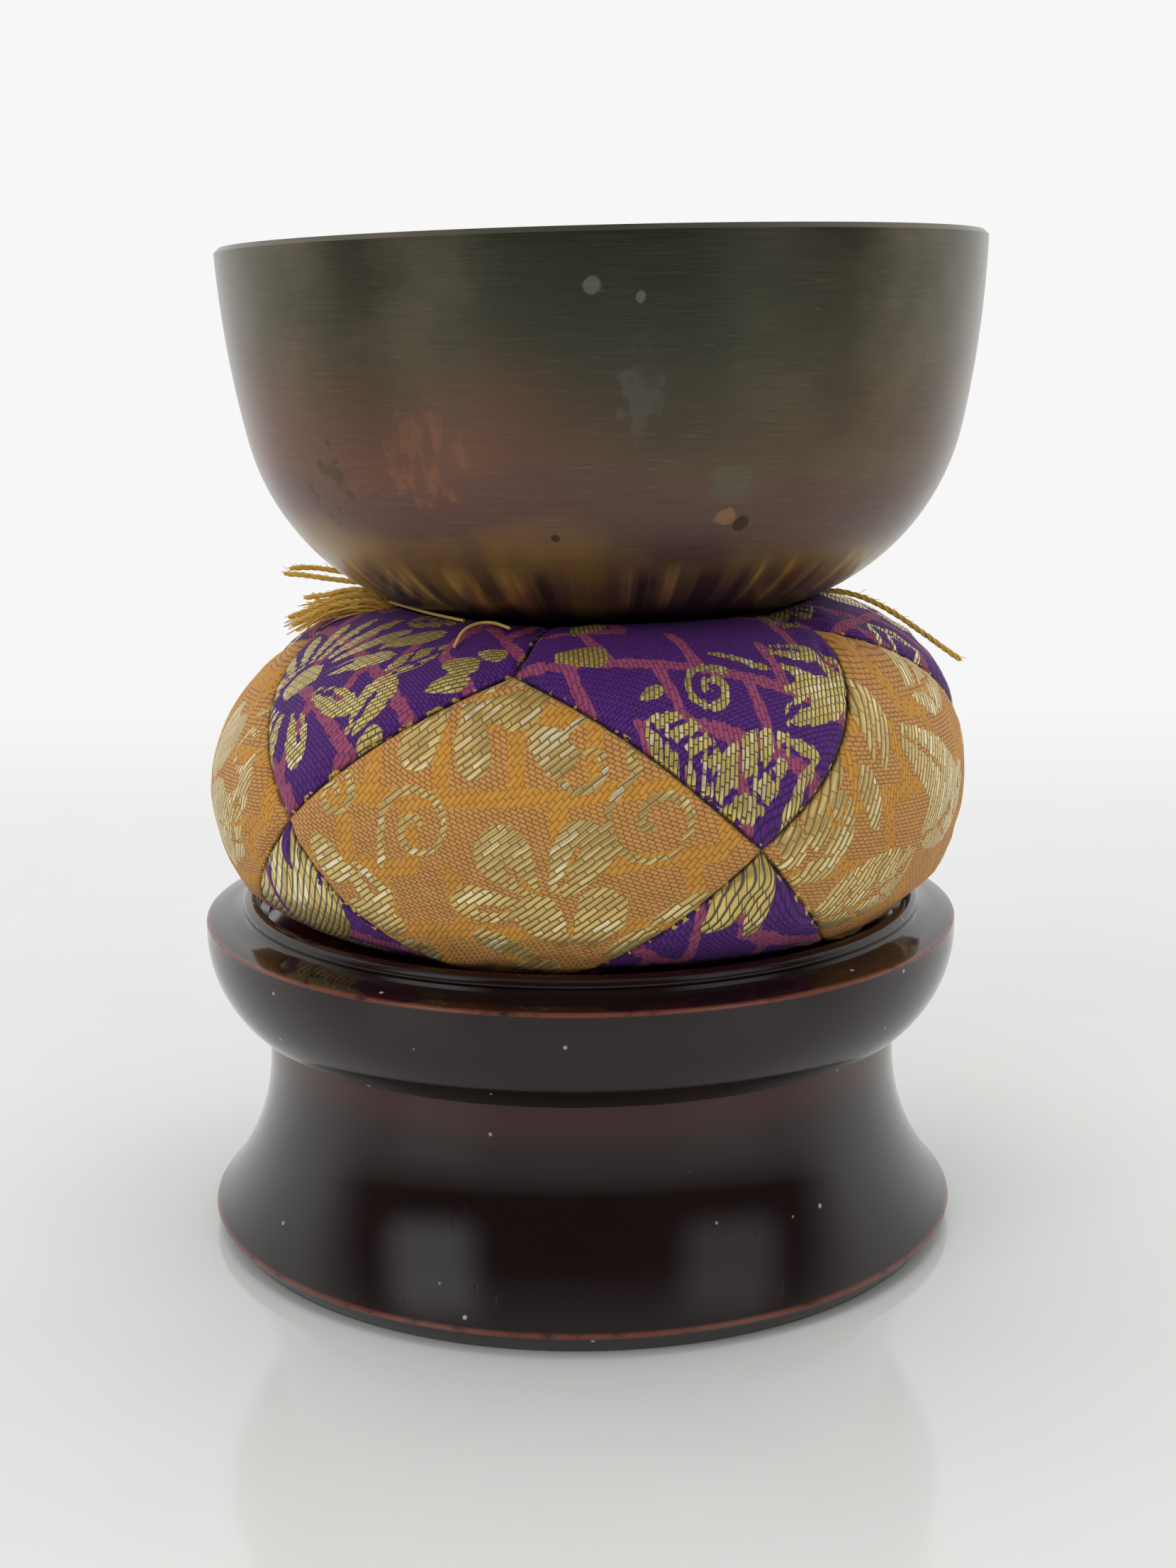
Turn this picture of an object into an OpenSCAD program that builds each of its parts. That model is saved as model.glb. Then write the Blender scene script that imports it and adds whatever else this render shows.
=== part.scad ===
/* [Stand] */
// Radius of the ring that the stand rests on
foot_r = 37.2; // [35:0.1:38.5]
// Radius of the flared lower edge of the base
edge_r = 38.65; // [37:0.05:40]
// Height of the flared lower edge
edge_z = 2.05; // [1:0.05:4]
// Radius of the waist between the base and the dish
waist_r = 32.5; // [30:0.1:34]
// Height at which the base is narrowest
waist_z = 18; // [15:0.5:20]
// Height at which the base is glued under the dish
joint_z = 22.3; // [21:0.1:24]
// Thickness of the turned base wall
base_wall = 3.1; // [2:0.1:4]
// Radius of the sharp upper ridge of the dish
ridge_r = 38.5; // [37:0.1:40]
// Height of the sharp upper ridge of the dish
ridge_z = 32.4; // [31:0.1:34]
// Rounding radius of the dish's side
side_r = 12; // [9:0.5:15]
// Radius of the bead ring's middle line
bead_r = 33.95; // [33:0.05:35]
// Half the width of the bead ring
bead_half = 0.9; // [0.6:0.05:1.2]
// Height of the middle of the bead ring
bead_z = 33.7; // [33.4:0.1:34.4]
// Height of the floor on which the cushion sits
seat_z = 32.2; // [31:0.1:32.6]
// Thickness of the dish floor
dish_floor = 3.6; // [2.5:0.1:5]

/* [Cushion] */
// Largest radius of the cushion
cushion_r = 38.45; // [36:0.05:40]
// Height of the cushion's widest line
cushion_mid_z = 45.6; // [44:0.1:47]
// Height from the widest line up to the crest
cushion_up = 18.7; // [16:0.1:20]
// Height from the widest line down to the underside
cushion_down = 13; // [11:0.1:13.1]
// Radius at which the top stops curving
crest_r = 20; // [18:0.5:24]
// Radius at which the underside stops curving
sole_r = 24; // [20:0.5:28]
// Sideways offset of the cushion on the stand
cushion_x = 0.8; // [0:0.1:0.9]
// Thickness of the brocade patches with their lining
patch_t = 1.2; // [0.8:0.1:2]
// Number of patches in each of the three rows
patch_count = 5; // [4:1:8]
// Turn of the patchwork about the upright axis, measured from the front
patch_turn = -11.4; // [-36:0.1:36]
// Slope of the line from the middle to a three-patch corner above
corner_up = 0.53; // [0.45:0.01:0.6]
// Slope of the line from the middle to a three-patch corner below
corner_down = 0.555; // [0.5:0.005:0.6]
// Width of the furrow at each seam
seam_gap = 0.2; // [0.1:0.05:0.4]
// Radius of the tufted well in the middle of the top
well_r = 4.5; // [3:0.1:6]
// Height of the bottom of the tufted well
well_z = 57; // [54:0.5:59]

/* [Tuft] */
// Radius of the tie that runs through the cushion
tie_r = 0.8; // [0.5:0.1:1.2]
// Radius of the knot on top
knot_r = 2.2; // [1.6:0.1:2.6]
// Radius of one loose yarn
yarn_r = 0.3; // [0.2:0.05:0.35]

/* [Bowl] */
// Outside radius at the rim
rim_r = 37.5; // [35:0.1:39]
// Height of the bowl
bowl_h = 36.1; // [34:0.1:40]
// Rounding radius where the side turns into the bottom
corner_r = 23; // [20:0.5:25]
// Radius of the slow curve of the upper side
flank_r = 100; // [80:1:140]
// Angle below level at which the two curves meet
break_angle = 12.5; // [10:0.5:15]
// Thickness of the metal
bowl_wall = 1.8; // [1.2:0.1:2.5]
// Bevel on the outside of the rim
rim_bevel = 0.5; // [0.2:0.1:0.8]
// Sideways place of the bowl's bottom on the cushion
bowl_x = 3.05; // [0:0.05:3.1]
// Height of the bowl's bottom
bowl_z = 63; // [62.8:0.1:64]
// Lean of the bowl where it sinks into the cushion
bowl_lean = 1.03; // [0:0.01:1.1]
// Room for the flattened yarns between the cushion and the bowl
yarn_room = 1.5; // [1.5:0.05:1.8]

/* [Hidden] */
$fn = 96;

// the base's outer curve is an arc that is upright at the waist and ends on the flared edge
flare_dr = edge_r - waist_r;
flare_dz = waist_z - edge_z;
flare_r = (flare_dr * flare_dr + flare_dz * flare_dz) / (2 * flare_dr);
flare_c = [waist_r + flare_r, waist_z];
flare_end = asin(flare_dz / flare_r);
inner_foot_z = 2.2;
neck_in_r = waist_r - base_wall;
spigot_t = 2.4;
spigot_h = 5;
glue_gap = 0.05;

// the dish's side is an arc that is upright just under the ridge
side_top = 1.3;
side_c = [ridge_r - side_r, ridge_z - side_top];
side_end = asin((side_c[1] - joint_z - 0.2) / side_r);
land_z = ridge_z + 0.65;
bead_in_r = bead_r - bead_half;

// the flank's centre follows from the rim, and the flat bottom's radius from both arcs
flank_c_z = corner_r + (flank_r - corner_r) * sin(break_angle);
flank_c_r = rim_r - sqrt(flank_r * flank_r - pow(flank_c_z - bowl_h, 2));
flat_r = flank_c_r + (flank_r - corner_r) * cos(break_angle);

lower_well_r = 2.6;
lower_well_h = 2;
cushion_low_z = cushion_mid_z - cushion_down;
half_span = 180 / patch_count;
reach = 60;

// routes of the loose yarns, from the knot to the cut end
route_right = [
    [3.1, 0, 60.4], [4.9, 0.1, 62.1], [10, 0.3, 62.2], [14, 0.5, 62.3], [18, 0.5, 62.6],
    [21.5, 0.5, 63.2], [25, 0.4, 64.5], [28.2, 0.2, 64.1], [31.5, 0, 62.6], [34.8, 0, 60.4],
    [37, 0.1, 58.8], [39, 0.2, 57.4]];
route_left_high = [
    [-1.6, 1.4, 60.4], [-3, 1.9, 62.1], [-8.5, 4.2, 62], [-12, 5.6, 62.1], [-15, 6.8, 62.7],
    [-17.5, 7.8, 63.6], [-20.5, 8.7, 64.9], [-23.6, 9.5, 65.5], [-26.5, 10, 66], [-28.6, 10.2, 66.2],
    [-30.6, 10.2, 66.1]];
route_left_mid = [
    [-1.7, 0.6, 60.4], [-3.3, 1, 62.1], [-8.5, 2.3, 62], [-12, 3.2, 62], [-15, 4.2, 62.5],
    [-17.5, 5.2, 63.3], [-20.5, 6.4, 64.6], [-23.6, 7.3, 65], [-26.5, 8, 65.3], [-29, 8.6, 65.6],
    [-31, 9, 65.7]];
route_left_low = [
    [-1.7, -0.2, 60.4], [-3.3, 0, 62.1], [-8.5, 0.8, 62], [-12, 1.4, 62], [-15, 2, 62.4],
    [-17.5, 2.6, 63.2], [-20.5, 3.4, 64.4], [-23.5, 4.4, 64.5], [-26.2, 5.2, 63.9], [-28.6, 6, 63.5]];
route_fray_high = [
    [-1.5, -1, 60.4], [-3.2, -1.1, 62.1], [-8.5, -1.6, 62], [-12, -1.7, 62], [-15, -1.7, 62.4],
    [-17.5, -1.6, 63.2], [-20.5, -1.2, 64.4], [-23.5, -0.8, 64.4], [-26.6, -0.6, 63.3], [-29.4, -0.5, 62.3]];
route_fray_low = [
    [-1, -1.7, 60.4], [-2.6, -2.3, 62.1], [-8, -4.5, 62], [-11.5, -5.2, 62], [-14.5, -5.5, 62.5],
    [-17, -5.5, 63.2], [-20, -5.2, 64.4], [-23, -4.8, 64.3], [-26, -4.3, 63.3], [-28.6, -3.8, 62]];

// points on an arc with radii rr about c, from angle a to angle b in n steps
function arc(c, rr, a, b, n) =
    [for (i = [0:n]) let (t = a + (b - a) * i / n) [c[0] + rr[0] * cos(t), c[1] + rr[1] * sin(t)]];

// the bowl's outside curve, grown outwards by g, from the axis to the height of the rim
function bowl_curve(g) = concat(
    [[0, -g]],
    arc([flat_r, corner_r], [corner_r + g, corner_r + g], -90, -break_angle, 10),
    arc([flank_c_r, flank_c_z], [flank_r + g, flank_r + g], -break_angle + 1,
        -asin((flank_c_z - bowl_h) / flank_r), 5));

// the cushion's half section, shrunk inwards by g
function cushion_section(g) = concat(
    [[0, cushion_low_z + g]],
    arc([sole_r, cushion_mid_z], [cushion_r - sole_r - g, cushion_down - g], -90, 0, 8),
    arc([crest_r, cushion_mid_z], [cushion_r - crest_r - g, cushion_up - g], 10, 90, 8),
    [[0, cushion_mid_z + cushion_up - g]]);

module stand_base() {
    wall_c = flare_r + base_wall;
    color("#2a1013") rotate_extrude() polygon(concat(
        [[edge_r - base_wall - 0.4, 0], [foot_r, 0], [edge_r, edge_z]],
        arc(flare_c, [flare_r, flare_r], 180 + flare_end - 4, 180, 9),
        [[waist_r, joint_z], [neck_in_r, joint_z]],
        arc(flare_c, [wall_c, wall_c], 180, 180 + asin((waist_z - inner_foot_z) / wall_c), 9)));
}

module stand_dish() {
    spigot_r = neck_in_r - glue_gap;
    color("#32161a") rotate_extrude() polygon(concat(
        [[0, seat_z - dish_floor], [spigot_r - spigot_t, seat_z - dish_floor]],
        [[spigot_r - spigot_t, joint_z - spigot_h], [spigot_r, joint_z - spigot_h], [spigot_r, joint_z]],
        arc(side_c, [side_r, side_r], -side_end, 0, 9),
        [[ridge_r, ridge_z], [ridge_r - 1.9, ridge_z + 0.2], [bead_r + bead_half + 0.1, land_z]],
        arc([bead_r, bead_z], [bead_half, bead_half], -20, 180, 9),
        [[bead_in_r, seat_z + 0.6], [bead_in_r - 0.8, seat_z], [0, seat_z]]));
}

module bowl_pose() {
    translate([bowl_x, 0, bowl_z]) rotate([0, -bowl_lean, 0]) children();
}

// the room that the bowl and its yarns take, seen from the cushion
module bowl_room(g) {
    bowl_pose() rotate_extrude() polygon(concat(bowl_curve(g), [[0, bowl_h]]));
}

module cushion_form(g) {
    difference() {
        translate([cushion_x, 0, 0]) rotate_extrude() polygon(cushion_section(g));
        bowl_room(yarn_room + g);
        translate([cushion_x, 0, well_z - g]) cylinder(r = well_r + g, h = reach);
        translate([cushion_x, 0, 0]) cylinder(r = lower_well_r + g, h = cushion_low_z + lower_well_h + g);
    }
}

// the hole that the tie fills, right through the core and the patches
module tie_hole() {
    translate([cushion_x, 0, 0]) cylinder(r = tie_r, h = reach + 20);
}

module cushion_core() {
    color("#e9e2d2") difference() {
        cushion_form(patch_t);
        tie_hole();
    }
}

// direction from the cushion's middle at an azimuth from the front, with a slope
function way(turn, slope) = [sin(turn), -cos(turn), slope];

// half of space on the side of a plane through the cushion's middle that holds the direction "inside"
module half_space(a, b, inside) {
    n = cross(a, b);
    m = n * inside > 0 ? n : -n;
    u = m / norm(m);
    rotate([0, acos(u[2]), atan2(u[1], u[0])]) translate([-reach, -reach, seam_gap / 2])
        cube([2 * reach, 2 * reach, reach]);
}

module patch_skin() {
    difference() {
        cushion_form(0);
        cushion_form(patch_t);
        tie_hole();
    }
}

// one patch: the skin between the planes through each pair of neighbouring corners
module patch(corners, middle) {
    intersection() {
        patch_skin();
        translate([cushion_x, 0, cushion_mid_z]) intersection() {
            half_space(corners[0], corners[1], middle);
            half_space(corners[1], corners[2], middle);
            half_space(corners[2], corners[3], middle);
            half_space(corners[3], corners[0], middle);
        }
    }
}

module patch_side(k) {
    t = patch_turn + k * 2 * half_span;
    color("#c4843c") patch(
        [way(t - half_span, 0), way(t, corner_up), way(t + half_span, 0), way(t, -corner_down)], way(t, 0));
}

module patch_top(k) {
    t = patch_turn + (2 * k + 1) * half_span;
    color("#4b1e7d") patch(
        [[0, 0, 1], way(t - half_span, corner_up), way(t, 0), way(t + half_span, corner_up)], way(t, 1));
}

module patch_bottom(k) {
    t = patch_turn + (2 * k + 1) * half_span;
    color("#43196f") patch(
        [[0, 0, -1], way(t - half_span, -corner_down), way(t, 0), way(t + half_span, -corner_down)],
        way(t, -1));
}

module tuft_tie() {
    low = cushion_low_z + lower_well_h;
    color("#c08a1e") translate([cushion_x, 0, low]) cylinder(r = tie_r, h = well_z - low);
}

// a knot: a flattened ball cut flat where it meets the cushion
module knot(r, z, up) {
    color("#c8921f") translate([cushion_x, 0, z]) intersection() {
        translate([0, 0, up * r * 0.6]) sphere(r = r);
        translate([-r, -r, up > 0 ? 0 : -2 * r]) cube([2 * r, 2 * r, 2 * r]);
    }
}

module tuft_knot() {
    knot(knot_r, well_z, 1);
}

module tuft_knot_below() {
    intersection() {
        knot(lower_well_r - 0.6, cushion_low_z + lower_well_h, -1);
        translate([-reach, -reach, cushion_low_z]) cube([2 * reach, 2 * reach, lower_well_h]);
    }
}

// a yarn swept along its route as one closed tube with eight sides
module yarn(route) {
    n = len(route);
    sides = 8;
    function unit(v) = v / norm(v);
    function ahead(i) = unit(route[min(i + 1, n - 1)] - route[max(i - 1, 0)]);
    function across(i) = unit(cross(ahead(i), [0, 0, 1]));
    rings = [for (i = [0:n - 1]) let (a = across(i), b = cross(a, ahead(i))) for (s = [0:sides - 1])
        route[i] + yarn_r * (cos(s * 360 / sides) * a + sin(s * 360 / sides) * b)];
    walls = [for (i = [0:n - 2]) for (s = [0:sides - 1]) let (q = (s + 1) % sides)
        [i * sides + s, i * sides + q, (i + 1) * sides + q, (i + 1) * sides + s]];
    ends = [[for (s = [sides - 1:-1:0]) s], [for (s = [0:sides - 1]) (n - 1) * sides + s]];
    color("#d9a02a") polyhedron(points = rings, faces = concat(walls, ends));
}

module bowl() {
    inner = bowl_wall;
    top_in = flank_c_r + sqrt(pow(flank_r - inner, 2) - pow(flank_c_z - bowl_h, 2));
    rim_at = rim_r - rim_bevel;
    color("#75634a") bowl_pose() rotate_extrude($fn = 120) polygon(concat(
        [for (p = bowl_curve(0)) if (p[1] < bowl_h - rim_bevel) p],
        [[rim_r, bowl_h - rim_bevel], [rim_at, bowl_h], [top_in + 0.2, bowl_h], [top_in, bowl_h - 0.2]],
        arc([flank_c_r, flank_c_z], [flank_r - inner, flank_r - inner],
            -asin((flank_c_z - bowl_h + 2) / flank_r), -break_angle, 5),
        arc([flat_r, corner_r], [corner_r - inner, corner_r - inner], -break_angle - 6, -90, 10),
        [[0, inner]]));
}

stand_base();
stand_dish();
cushion_core();
tuft_tie();
tuft_knot();
tuft_knot_below();
patch_top(0);  // patch_top_1
patch_top(1);  // patch_top_2
patch_top(2);  // patch_top_3
patch_top(3);  // patch_top_4
patch_top(4);  // patch_top_5
patch_side(0);  // patch_side_1
patch_side(1);  // patch_side_2
patch_side(2);  // patch_side_3
patch_side(3);  // patch_side_4
patch_side(4);  // patch_side_5
patch_bottom(0);  // patch_bottom_1
patch_bottom(1);  // patch_bottom_2
patch_bottom(2);  // patch_bottom_3
patch_bottom(3);  // patch_bottom_4
patch_bottom(4);  // patch_bottom_5
yarn(route_right);  // yarn_right
yarn(route_left_high);  // yarn_left_high
yarn(route_left_mid);  // yarn_left_mid
yarn(route_left_low);  // yarn_left_low
yarn(route_fray_high);  // yarn_fray_high
yarn(route_fray_low);  // yarn_fray_low
bowl();
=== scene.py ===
import math
from functools import partialmethod

import bpy
import numpy as np
from mathutils import Matrix, Vector


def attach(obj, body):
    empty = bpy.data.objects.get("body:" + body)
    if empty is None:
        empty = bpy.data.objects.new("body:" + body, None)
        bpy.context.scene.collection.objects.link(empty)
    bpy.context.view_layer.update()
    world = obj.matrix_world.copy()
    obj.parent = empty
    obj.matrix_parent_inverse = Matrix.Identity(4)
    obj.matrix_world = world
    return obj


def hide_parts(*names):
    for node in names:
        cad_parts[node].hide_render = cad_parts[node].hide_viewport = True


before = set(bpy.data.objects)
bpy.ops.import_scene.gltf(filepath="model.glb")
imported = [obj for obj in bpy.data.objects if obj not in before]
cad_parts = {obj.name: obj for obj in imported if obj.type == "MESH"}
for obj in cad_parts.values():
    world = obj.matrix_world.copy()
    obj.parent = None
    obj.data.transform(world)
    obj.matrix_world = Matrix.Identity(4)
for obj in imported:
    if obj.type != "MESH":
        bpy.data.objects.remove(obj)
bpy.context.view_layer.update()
MM = 0.001
SEED = 7


# ---------------------------------------------------------------- camera
CAMERA_AT = (0.84, -218.64, 91.1)
PITCH, ROLL, LENS = 11.966, -0.374, 49.72


def make_camera():
    """A camera in front of the bowl, a little above the stand and pitched down."""
    pitch, roll = math.radians(PITCH), math.radians(ROLL)
    ahead = Vector((0, math.cos(pitch), -math.sin(pitch)))
    up = Vector((0, math.sin(pitch), math.cos(pitch)))
    right = Vector((1, 0, 0))
    cam_right = right * math.cos(roll) + up * math.sin(roll)
    cam_up = up * math.cos(roll) - right * math.sin(roll)
    data = bpy.data.cameras.new("camera")
    data.sensor_width = 36
    data.lens = LENS
    data.clip_start, data.clip_end = 0.01, 20
    cam = bpy.data.objects.new("camera", data)
    rows = [(r, u, -a, at * MM) for r, u, a, at in zip(cam_right, cam_up, ahead, CAMERA_AT)]
    cam.matrix_world = Matrix((*rows, (0, 0, 0, 1)))
    bpy.context.scene.collection.objects.link(cam)
    bpy.context.scene.camera = cam


# ---------------------------------------------------------------- mesh helpers
def add_mesh(name, points, faces, smooth_deg=40):
    """A mesh object from points in millimetres."""
    mesh = bpy.data.meshes.new(name)
    points = (np.asarray(points, float) * MM).tolist()
    mesh.from_pydata(points, [], [list(map(int, f)) for f in faces])
    mesh.update()
    mesh.shade_smooth()
    mesh.set_sharp_from_angle(angle=math.radians(smooth_deg))
    obj = bpy.data.objects.new(name, mesh)
    bpy.context.scene.collection.objects.link(obj)
    return obj


def without_repeats(face):
    return [v for n, v in enumerate(face) if v not in face[:n]]


def lathe(name, outline, segments=256, smooth_deg=30):
    """A closed turned mesh from an outline of (radius, height) points in millimetres."""
    points, rings = [], []
    for r, z in outline:
        if r < 1e-6:
            rings.append([len(points)] * segments)
            points.append((0, 0, z))
            continue
        rings.append(list(range(len(points), len(points) + segments)))
        for k in range(segments):
            a = 2 * math.pi * k / segments
            points.append((r * math.cos(a), r * math.sin(a), z))
    faces = []
    loops = len(rings)
    closed = outline[0][0] > 1e-6
    for i in range(loops if closed else loops - 1):
        low, high = rings[i], rings[(i + 1) % loops]
        for k in range(segments):
            q = (k + 1) % segments
            face = without_repeats([low[k], low[q], high[q], high[k]])
            if len(face) > 2:
                faces.append(face)
    return add_mesh(name, points, faces, smooth_deg)


def arc(c, r, a, b, n):
    """Points on an arc about c from angle a to b, in degrees."""
    return [(c[0] + r * math.cos(math.radians(a + (b - a) * i / n)),
             c[1] + r * math.sin(math.radians(a + (b - a) * i / n))) for i in range(n + 1)]


def run_along(line):
    """The length run at each point of a line."""
    return np.concatenate([[0], np.cumsum(np.linalg.norm(np.diff(line, axis=0), axis=1))])


def smooth_route(points, step):
    """A Catmull-Rom curve through the points, resampled about every step millimetres."""
    p = np.array(points, float)
    p = np.vstack([2 * p[0] - p[1], p, 2 * p[-1] - p[-2]])
    fine = []
    for i in range(1, len(p) - 2):
        for t in np.linspace(0, 1, 24, endpoint=False):
            fine.append(0.5 * (2 * p[i] + (p[i + 1] - p[i - 1]) * t
                               + (2 * p[i - 1] - 5 * p[i] + 4 * p[i + 1] - p[i + 2]) * t * t
                               + (3 * p[i] - p[i - 1] - 3 * p[i + 1] + p[i + 2]) * t ** 3))
    fine.append(p[-2])
    fine = np.array(fine)
    run = run_along(fine)
    at = np.linspace(0, run[-1], max(4, int(run[-1] / step)))
    return np.stack([np.interp(at, run, fine[:, k]) for k in range(3)], 1)


def ahead_along(line):
    """Unit vectors along a line."""
    ahead = np.gradient(line, axis=0)
    return ahead / np.linalg.norm(ahead, axis=1)[:, None]


def frames_along(line):
    """Unit vectors across a line, carried along it without twisting."""
    ahead = ahead_along(line)
    upright = abs(ahead[0][2]) >= 0.9
    side = np.cross(ahead[0], [1.0, 0, 0] if upright else [0, 0, 1.0])
    sides = []
    for t in ahead:
        side = side - t * (side @ t)
        side = side / np.linalg.norm(side)
        sides.append(side)
    sides = np.array(sides)
    return sides, np.cross(ahead, sides)


def tube(line, radii, sides=6):
    """Points and faces of a closed round tube along a line."""
    a, b = (v[:, None] for v in frames_along(line))
    n = len(line)
    ang = (np.arange(sides) * 2 * math.pi / sides)[None, :, None]
    pts = line[:, None] + np.asarray(radii)[:, None, None] * (np.cos(ang) * a + np.sin(ang) * b)
    faces = []
    for i in range(n - 1):
        for s in range(sides):
            here, q = i * sides, (s + 1) % sides
            faces.append([here + s, here + q, here + sides + q, here + sides + s])
    faces += [list(range(sides))[::-1], [(n - 1) * sides + s for s in range(sides)]]
    return pts.reshape(-1, 3), faces


def joined(parts):
    """Points and faces of several meshes as one."""
    points, faces, base = [], [], 0
    for p, f in parts:
        points.append(np.asarray(p, float))
        faces += [[v + base for v in face] for face in f]
        base += len(p)
    return np.vstack(points), faces


# ---------------------------------------------------------------- node helpers
class Nodes:
    """Short ways to write the nodes of a node tree."""

    def __init__(self, tree):
        self.tree = tree
        tree.nodes.clear()

    def put(self, socket, value):
        if isinstance(value, bpy.types.NodeSocket):
            self.tree.links.new(value, socket)
        else:
            if isinstance(value, tuple) and len(socket.default_value) == len(value) + 1:
                value = (*value, 1)
            socket.default_value = value

    def node(self, kind, *values, **settings):
        """A new node with its settings made and its first inputs filled in."""
        n = self.tree.nodes.new("ShaderNode" + kind)
        for key, v in settings.items():
            setattr(n, key, v)
        for socket, v in zip(n.inputs, values):
            self.put(socket, v)
        return n

    def math(self, op, a, b=0.0, c=0.0, clamp=False):
        return self.node("Math", a, b, c, operation=op, use_clamp=clamp).outputs[0]

    add = partialmethod(math, "ADD")
    sub = partialmethod(math, "SUBTRACT")
    mul = partialmethod(math, "MULTIPLY")
    mul_add = partialmethod(math, "MULTIPLY_ADD")
    div = partialmethod(math, "DIVIDE")
    max = partialmethod(math, "MAXIMUM")
    abs = partialmethod(math, "ABSOLUTE")
    sqrt = partialmethod(math, "SQRT")
    floor = partialmethod(math, "FLOOR")
    fract = partialmethod(math, "FRACT")

    def square_sum(self, *values):
        total = self.mul(values[0], values[0])
        for v in values[1:]:
            total = self.add(total, self.mul(v, v))
        return total

    def ramp(self, value, low, high, between=(0.0, 1.0)):
        """A smooth step, from the first of between at low to the second at high."""
        n = self.node("MapRange", value, low, high, *between, interpolation_type="SMOOTHSTEP")
        return n.outputs[0]

    def mix(self, share, a, b):
        n = self.node("Mix", share, data_type="RGBA")
        self.put(n.inputs[6], a)
        self.put(n.inputs[7], b)
        return n.outputs[2]

    def tint(self, colour, tone, share, strength=1.0):
        """A colour turned towards a tone, by a share times a strength."""
        return self.mix(self.mul(share, strength), colour, tone)

    def noise(self, vector, scale, detail=2.0, stretch=(1, 1, 1)):
        mapping = self.node("Mapping", vector)
        mapping.inputs["Scale"].default_value = stretch
        n = self.node("TexNoise", mapping.outputs[0])
        n.inputs["Scale"].default_value = scale
        n.inputs["Detail"].default_value = detail
        return n.outputs[0]

    def where(self, kind="Object"):
        return self.node("TexCoord").outputs[kind]

    def parts(self, vector):
        return self.node("SeparateXYZ", vector).outputs

    def vector(self, x, y, z=0.0):
        return self.node("CombineXYZ", x, y, z).outputs[0]

    def random(self, vector):
        return self.node("TexWhiteNoise", vector).outputs["Value"]

    def mark(self, name, kind="Fac"):
        return self.node("Attribute", attribute_name=name).outputs[kind]

    def bump(self, height, distance, strength=1.0):
        n = self.node("Bump")
        for key, v in (("Strength", strength), ("Distance", distance), ("Height", height)):
            self.put(n.inputs[key], v)
        return n.outputs[0]


class Surface(Nodes):
    """A new material with one Principled shader."""

    def __init__(self, name):
        self.mat = bpy.data.materials.new(name)
        self.mat.use_nodes = True
        super().__init__(self.mat.node_tree)
        self.out = self.node("OutputMaterial")
        self.bsdf = self.node("BsdfPrincipled")
        self.put(self.out.inputs[0], self.bsdf.outputs[0])

    def shade(self, **values):
        for key, v in values.items():
            self.put(self.bsdf.inputs[key.replace("_", " ")], v)
        return self.mat


def threads(m, along, across, pitch, bar, shift, gap):
    """A woven face: the height of rows of short bars, and a random value for each bar."""
    row = m.div(across, pitch)
    row_id = m.floor(row)
    side = m.sub(m.mul(m.fract(row), 2.0), 1.0)
    round_ = m.sqrt(m.sub(1.0, m.mul(side, side), clamp=True))
    step = m.mul_add(row_id, shift, m.div(along, bar))
    edge = m.abs(m.sub(m.fract(step), 0.5))
    held = m.ramp(edge, 0.5 - gap, 0.5)
    height = m.mul(round_, m.sub(1.0, held))
    return height, m.random(m.vector(row_id, m.floor(step)))


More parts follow.
